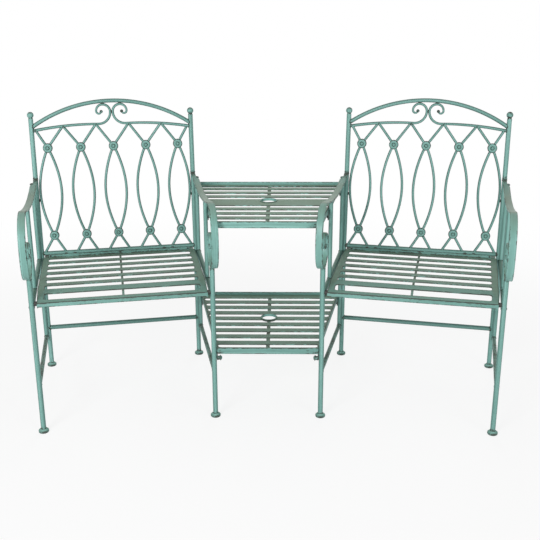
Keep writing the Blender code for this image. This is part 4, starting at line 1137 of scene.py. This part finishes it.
def tray_sheet(half_width, ends, rows, plain_ahead):
    """Slotted sheet of a tray on the floor's plane. The rows of slots count from the back."""
    bm = blank()

    def corners(far, near, inset):
        return [(sign * half_width(y, inset), y) for sign, y in ((-1, far), (1, far), (1, near), (-1, near))]

    loop(bm, corners(ends[0] - TRAY_BAR_T, ends[1] + TRAY_BAR_T, TRAY_BAR_T))
    outlines = [corners(far, near, TRAY_BAR_T + TRAY_SIDE) for near, far in rows]
    behind, ahead = outlines[RING_SLAT - 1], outlines[RING_SLAT]
    for outline in outlines:
        if outline not in (behind, ahead):
            loop(bm, outline, SLOT_CORNER)
    top, low = (asin((y - RING_Y) / BORE_R) for y in (behind[2][1], ahead[0][1]))
    if plain_ahead:
        hole = bore_arc(top, -pi - top, 14)
    else:
        hole = [*bore_arc(top, low, 4), *ahead[1:], ahead[0], *bore_arc(pi - low, pi - top, 4)]
    points = [*behind[:3], *hole, behind[3]]
    loop(bm, points, SLOT_CORNER, [points.index(corner) for corner in (*behind, *ahead) if corner in points])
    filled(bm, SHEET_STRIP)
    return bm


def slatted_tray(tier, top, holders):
    """One tier: slotted sheet, strap and frame."""
    half_width, ends, flanges = tray_side(holders), ENDS[tier], FLANGES[tier]
    first, last = ends[1] + TRAY_BAR_T + flanges[1], ends[0] - TRAY_BAR_T - flanges[0]
    rows = slots(first, last, TRAY_SLATS, TRAY_SLAT)[::-1]
    bm = tray_sheet(half_width, ends, rows, tier == "upper")
    bmesh.ops.translate(bm, vec=(0, 0, top - TRAY_LIP), verts=bm.verts)
    thickened(bm)
    level = top - TRAY_LIP - SHEET_THICK / 2 - TRAY_STRAP_THICK / 2
    inset = TRAY_BAR_T * 1.5
    for far, near in ((ends[0] - inset, RING_Y + BORE_R), (RING_Y - BORE_R, ends[1] + inset)):
        strap(bm, [(0, far, level), (0, near, level)], TRAY_STRAP, TRAY_STRAP_THICK, worn=TRAY_STRAP_SHADE_AND_WEAR)
    tray_frame(bm, half_width, top, ends, holders)
    return bm


STAY_POINT = upright(STAY_FORWARD, STAY_OUT)
TIERS = {"upper": [(STAY_POINT, STAY_R), (upright(ARM_POST_FORWARD, ARM_POST_OUT), ARM_POST_R)],
         "lower": [(STAY_POINT, STAY_R), (upright(REACH, 0.0), POST_R)]}
for tier, holders in TIERS.items():
    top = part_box(f"{tier}_table_tray")[1].z
    place(slatted_tray(tier, top, holders), f"{tier}_slatted_tray", Matrix.Identity(4),
          TRAY_PAINT if tier == "upper" else SHADED_SHELF_PAINT, "sheet_paint", f"{tier}_table_tray")
print(f"two trays with {TRAY_SLATS} slats")

# %% [markdown]
# ## Welds
# Every joint of the frame is welded and painted over, and the rubbing leaves the beads dark. A bead could be
# a plain ring, but a round bar leaves a round post along a saddle-shaped line. So that line is worked out:
# points go round the bar, and each slides along the bar until it lies on the post. A thin bar of uneven
# thickness is then pulled along the line.

# %% Weld beads
BEAD_R, BEAD_LUMPS = 0.0015, 0.45
BEAD_RUB, BEAD_RUB_LUMPS, TACK_RUB = 0.95, 0.4, 1.6
TACK_R, TACK_L = 0.0028, 0.0055
ARCH_TACK_L, SEAT_TACK_L = 0.006, 0.0045
CURL_TACK_Y, ARCH_TACK_Y, BOW_TACK_Y, RAIL_TACK_Y = -0.0024, -0.0026, -0.0040, -0.0068
BOW_TACK_Z = 0.615          # where the outermost bows are tacked to the posts
RAIL_TACKS, RAIL_TACK_DROP = (-0.186, -0.156, 0.156, 0.186), 0.0008     # along the lower back bar
SEAT_TACK_AHEAD, SEAT_TACK_UP = 0.0005, 0.0080
NECK_BEAD = radians(80)     # how far a bead goes round the post to each side of the armrest's neck
SLOPE_AHEAD, SLOPE_BEHIND = 0.02, 0.005     # stretch of the armrest that gives its slope


def seam(centre, along, radius, axis, post_radius, count=24):
    """Line on which a round bar leaves a round post. along points from the post's axis into the bar."""
    along, axis = along.normalized(), axis.normalized()
    side = along.cross(axis).normalized()
    rise = side.cross(along)
    flat = along - axis * along.dot(axis)
    points = []
    for index in range(count + 1):
        turn = 2 * pi * index / count
        spoke = (side * cos(turn) + rise * sin(turn)) * radius
        level = spoke - axis * spoke.dot(axis)
        back = level.dot(flat) / flat.length_squared
        reach = (post_radius ** 2 - level.length_squared) / flat.length_squared
        points.append(centre + spoke + along * (sqrt(max(0.0, back ** 2 + reach)) - back))
    return points


def bead(bm, points, start):
    """Weld bead along a line, uneven and rubbed dark."""
    lumps = [noise.noise(Vector((start + 0.8 * index, 0.5, 0.5))) for index in range(len(points))]
    round_bar(bm, points, BEAD_R, 8, [BEAD_R * (1 + BEAD_LUMPS * lump) for lump in lumps], start,
              rubs=[BEAD_RUB + BEAD_RUB_LUMPS * lump for lump in lumps])


def tack(bm, place_at, along, start):
    """Short blob of weld: a bead whose ends run out."""
    along = Vector(along)
    points = [Vector(place_at) + along * share for share in (-1.0, -0.85, -0.4, 0.0, 0.4, 0.85, 1.0)]
    radii = [TACK_R * share for share in (0.15, 0.62, 0.95, 1.05, 0.9, 0.6, 0.15)]
    round_bar(bm, points, TACK_R, 10, radii, start, rubs=[TACK_RUB] * len(points))


def back_seams():
    """Seams of the arch, scroll rods and lower back bar, on the leaning back."""
    upright_axis = Vector((0, 0, 1))
    for sign in (-1, 1):
        for height, along, radius in (
                (arch_height(HALF), (-sign, 0, HALF / sqrt(ARCH_BEND ** 2 - HALF ** 2)), ARCH_R),
                (SCROLL_LINE[0].y, (-sign * cos(SCROLL_RISE), 0, sin(SCROLL_RISE)), SCROLL_R),
                (up(BOTTOM_RAIL_Z), (-sign, 0, 0), BOTTOM_RAIL_R)):
            yield seam(Vector((sign * HALF, 0, height)), Vector(along), radius, upright_axis, POST_R)


def side_seams():
    """Seams of the low rear bar, seat bearers, runners and arm posts, on the upright chair."""
    plumb = Vector((0, 0, 1))
    for sign in (-1, 1):
        leg, stay = Vector((sign * HALF, -REACH, 0)), Vector((sign * (HALF + STAY_OUT), -STAY_FORWARD, 0))
        front, rear = leg + plumb * SEAT_RAIL_FRONT_Z, stay + plumb * SEAT_RAIL_REAR_Z
        low_front, low_rear = leg + plumb * RUNNER_FRONT_Z, stay + plumb * RUNNER_REAR_Z
        yield seam(Vector((sign * HALF, 0, STRETCHER_Z)), Vector((-sign, 0, 0)), STRETCHER_R, plumb, POST_R)
        yield seam(front, rear - front, SEAT_RAIL_R, plumb, POST_R)
        yield seam(rear, front - rear, SEAT_RAIL_R, plumb, STAY_R)
        yield seam(low_front, low_rear - low_front, STAY_R, plumb, POST_R)
        yield seam(low_rear, low_front - low_rear, STAY_R, plumb, STAY_R)
        yield seam(rear.lerp(front, ARM_POST_SHARE), plumb, ARM_POST_R, front - rear, SEAT_RAIL_R)


def arm_seams():
    """Beads round the arm posts and stays under the armrest, and on the back post above and below its neck."""
    uprights = ((ARM_POST_FORWARD, ARM_POST_OUT, ARM_POST_R), (STAY_FORWARD, STAY_OUT, STAY_R))
    for sign in (-1, 1):
        for forward, out, radius in uprights:
            centre = Vector((sign * (HALF + out), -forward, arm_above(forward) - ARM_THICK / 2))
            rise = arm_above(forward + SLOPE_AHEAD) - arm_above(forward - SLOPE_BEHIND)
            slope = rise / (SLOPE_AHEAD + SLOPE_BEHIND)
            yield [centre + Vector((radius * cos(turn), radius * sin(turn), -radius * sin(turn) * slope))
                   for turn in (2 * pi * index / 20 for index in range(21))]
        bend = Vector((sign * HALF, 0, BEND_Z))
        for height in (ARM_THICK / 2, -ARM_THICK / 2):
            centre = bend + LEAN * (up(ARM_REAR_Z) + height - POST_R * sin(-ARM_HEADING))
            yield [centre + Vector((POST_R * sin(turn), -POST_R * cos(turn), 0))
                   for turn in (NECK_BEAD * (index / 6 - 1) for index in range(13))]


VOLUTE_TOP = max(point.y for point in SCROLL_LINE)
VOLUTE_OUT = VOLUTE_R + ROD_GAP / 2 + VOLUTE_BENDS[1]
for hand in HANDS:
    bm = blank()
    for number, line in enumerate(back_seams()):
        bead(bm, line, number * 31.7 + (hand == "left") * 7.3)
    tack(bm, (0, CURL_TACK_Y, VOLUTE_TOP - VOLUTE_BENDS[1]), (0, 0, TACK_L), 3.1)
    for sign in (-1, 1):
        tack(bm, (sign * VOLUTE_OUT, ARCH_TACK_Y, VOLUTE_TOP + VOLUTE_R), (ARCH_TACK_L, 0, 0), 5.2 + sign)
        tack(bm, (sign * (HALF - POST_R), BOW_TACK_Y, up(BOW_TACK_Z)), (0, 0, TACK_L), 8.4 + sign)
    place(bm, f"{hand}_back_welds", BACKS[hand], ROD_PAINT, "frame_paint")
    bm = blank()
    for number, line in enumerate((*side_seams(), *arm_seams())):
        bead(bm, line, number * 17.9 + (hand == "left") * 3.9)
    for x in RAIL_TACKS:
        tack(bm, (x, RAIL_TACK_Y, BOTTOM_RAIL_Z - RAIL_TACK_DROP), (TACK_L, 0, 0), 40.0 * x)
    tack(bm, (0, -SEAT_REAR - SEAT_TACK_AHEAD, SEAT_REAR_Z + SEAT_TACK_UP), (SEAT_TACK_L, 0, 0), 1.7)
    place(bm, f"{hand}_side_welds", STANDS[hand], ROD_PAINT, "frame_paint")
print("welds of two chairs")

# %% [markdown]
# ## Bolts, screws and sleeves
# The table hangs between the chairs on bolts with dome heads, which go through its ears. A black sleeve holds
# each front corner of a seat off the leg, and a small screw goes through each end of the turned-up back edge
# into the bar behind it. A head is a profile of a dome on a washer, spun about the bolt.

# %% Bolts, screws and sleeves
DOME = ((0.0000, 0.0058, 0.0), (0.0026, 0.0055, 0.0), (0.0047, 0.0046, 0.1), (0.0062, 0.0032, 0.4),
        (0.0069, 0.0017, 1.0), (0.0072, 0.0013, 1.2), (0.0086, 0.0012, 0.6), (0.0091, 0.0006, 1.0),
        (0.0091, -0.0003, 1.0), (0.0000, -0.0003, 1.0))
SCREW_SCALE, SCREW_INSET, SCREW_SHARE = 0.34, 0.005, 0.6      # the last is its height on the turned-up edge
SLEEVE_R, SLEEVE_SEAT_LAP, SLEEVE_LEG_LAP = 0.0072, 0.0005, 0.0008
BLACK_BOLT_SCALE = 0.7
SHANK_R, SHANK_L, SHELF_BOLT_DROP = 0.0066, 0.0085, 0.0045


def bolt_head(bm, place_at, facing, scale=1.0, shank=0.0):
    """Dome head that looks along facing. If it has a shank, that starts at the place and carries the head."""
    turn = Vector(facing).to_track_quat('Z', 'Y').to_matrix().to_4x4()
    head = Vector(place_at) + Vector(facing).normalized() * shank
    turned(bm, DOME, Matrix.Translation(head) @ turn @ Matrix.Scale(scale, 4), 24)
    if shank:
        round_bar(bm, [Vector(place_at), head], SHANK_R)


painted, black = blank(), blank()
for tier, holders in TIERS.items():
    top, half_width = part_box(f"{tier}_table_tray")[1].z, tray_side(holders)
    for (holder, _), painted_head in zip(holders, (False, tier == "lower")):
        for sign in (-1, 1):
            x = sign * half_width(holder.y, TRAY_BAR_T - EAR_INSET)
            inward = Vector((-sign, half_width(holder.y + 0.5) - half_width(holder.y - 0.5), 0))
            height = top - TRAY_BAR_H - EAR_DROP / 2
            if painted_head:
                bolt_head(painted, (x, holder.y, height - SHELF_BOLT_DROP), inward, shank=SHANK_L)
            else:
                bolt_head(black, (x, holder.y, height), inward, BLACK_BOLT_SCALE)
place(painted, "painted_shelf_bolts", Matrix.Identity(4), FRAME_PAINT, "frame_paint", sharp=60.0)
place(black, "black_table_bolts", Matrix.Identity(4), BOLT_BLACK, "frame_paint", sharp=60.0)
for hand in HANDS:
    sleeves, screws = blank(), blank()
    height = seat_height(REACH) - BOSS_DROP
    for sign in (-1, 1):
        ends = (seat_half(REACH) - SLEEVE_SEAT_LAP, HALF - POST_R + SLEEVE_LEG_LAP)
        round_bar(sleeves, [(sign * x, -REACH, height) for x in ends], SLEEVE_R)
        x = sign * (seat_half(SEAT_REAR, SEAT_SIDE) - SCREW_INSET)
        screw_at = (x, -SEAT_REAR - SHEET_THICK / 2, SEAT_REAR_Z + SEAT_LIP * SCREW_SHARE)
        bolt_head(screws, screw_at, (0, -1, 0), SCREW_SCALE)
    place(sleeves, f"{hand}_seat_sleeves", STANDS[hand], SLEEVE_BLACK, "foot_paint")
    place(screws, f"{hand}_seat_screws", STANDS[hand], BOLT_BLACK, "foot_paint", sharp=60.0)
print("eight tray bolts, four sleeves and four screws")

# %% [markdown]
# ## Floor and light
# The seat stands in a white studio. Large soft lamps in front give the bars their even light, a weaker one
# above lights what faces up, and one behind, which throws no glints, keeps the backs of the chairs from going
# dark. The floor is white to the camera, but part of what it shows is real light, so that it keeps the soft
# shadow under the feet.

# %% Floor, lamps and world
FLOOR_SIZE = 240.0
FLOOR_SHADE = 0.16          # how much of the floor near the seat is lit by the lamps
SHADE_NEAR, SHADE_FAR = 0.9, 2.6
WHITE, FLOOR_GREY = (1, 1, 1, 1), (0.86, 0.86, 0.86, 1)
AMBIENT = 0.20

bm = bmesh.new()
bmesh.ops.create_grid(bm, x_segments=1, y_segments=1, size=FLOOR_SIZE / 2)
mesh = bpy.data.meshes.new("studio_floor")
bm.to_mesh(mesh)
bm.free()
floor = bpy.data.objects.new("studio_floor", mesh)
bpy.context.scene.collection.objects.link(floor)


def seen(finish):
    """1 for rays that show the background: straight from the camera, mirrored or through glass."""
    rays = [finish.node('ShaderNodeLightPath', {}, {}, name)
            for name in ("Is Camera Ray", "Is Glossy Ray", "Is Transmission Ray")]
    return (rays[0] + rays[1] + rays[2]).held()


white = Finish("studio_white")
glow = white.node('ShaderNodeEmission', {}, {"Color": WHITE, "Strength": 1.0})
lit = white.node('ShaderNodeBsdfDiffuse', {}, {"Color": FLOOR_GREY})
spot = white.node('ShaderNodeTexCoord', {}, {}, "Object")
away = white.node('ShaderNodeVectorMath', {"operation": 'LENGTH'}, {0: spot}, "Value")
near = 1.0 - away.between(SHADE_NEAR, SHADE_FAR)
share = seen(white) * (1.0 - FLOOR_SHADE * near)
white.output(white.node('ShaderNodeMixShader', {}, {0: share, 1: lit, 2: glow}))
mesh.materials.append(white.material)


LAMP_TARGET = Vector((0.0, 0.0, 0.45))


def lamp(name, place_from, size, watts, gloss=True):
    """Square soft lamp that looks at the seat. Without gloss it throws no glints."""
    light = bpy.data.lights.new(name, 'AREA')
    light.shape, light.size, light.energy = 'SQUARE', size, watts
    holder = bpy.data.objects.new(name, light)
    turn = (LAMP_TARGET - Vector(place_from)).to_track_quat('-Z', 'Y').to_matrix().to_4x4()
    holder.matrix_world = Matrix.Translation(place_from) @ turn
    holder.visible_glossy = gloss
    bpy.context.scene.collection.objects.link(holder)


lamp("front_left_box", (-1.9, -3.6, 2.1), 1.5, 120.0)
lamp("front_right_box", (2.4, -3.3, 1.7), 1.6, 48.0)
lamp("ceiling_box", (0.0, 0.2, 3.4), 3.0, 22.0)
lamp("back_box", (0.8, 3.8, 1.7), 2.0, 60.0, gloss=False)

world = bpy.data.worlds.new("studio_world")
world.use_nodes = True
bpy.context.scene.world = world
sky = Finish("studio_world", world.node_tree)
ambient = sky.node('ShaderNodeBackground', {}, {"Color": WHITE, "Strength": AMBIENT})
backdrop = sky.node('ShaderNodeBackground', {}, {"Color": WHITE, "Strength": 1.0})
mixed = sky.node('ShaderNodeMixShader', {}, {0: seen(sky), 1: ambient, 2: backdrop})
sky.output(mixed, 'ShaderNodeOutputWorld')
bpy.context.scene.view_settings.view_transform = 'Standard'
print("floor, four lamps and the world")

# %% [markdown]
# The dressed pieces and their triangles are counted.

# %% Pieces and triangles
triangles = sum(len(polygon.vertices) - 2 for piece in MADE for polygon in piece.data.polygons)
print(f"{len(MADE)} pieces, {triangles} triangles")
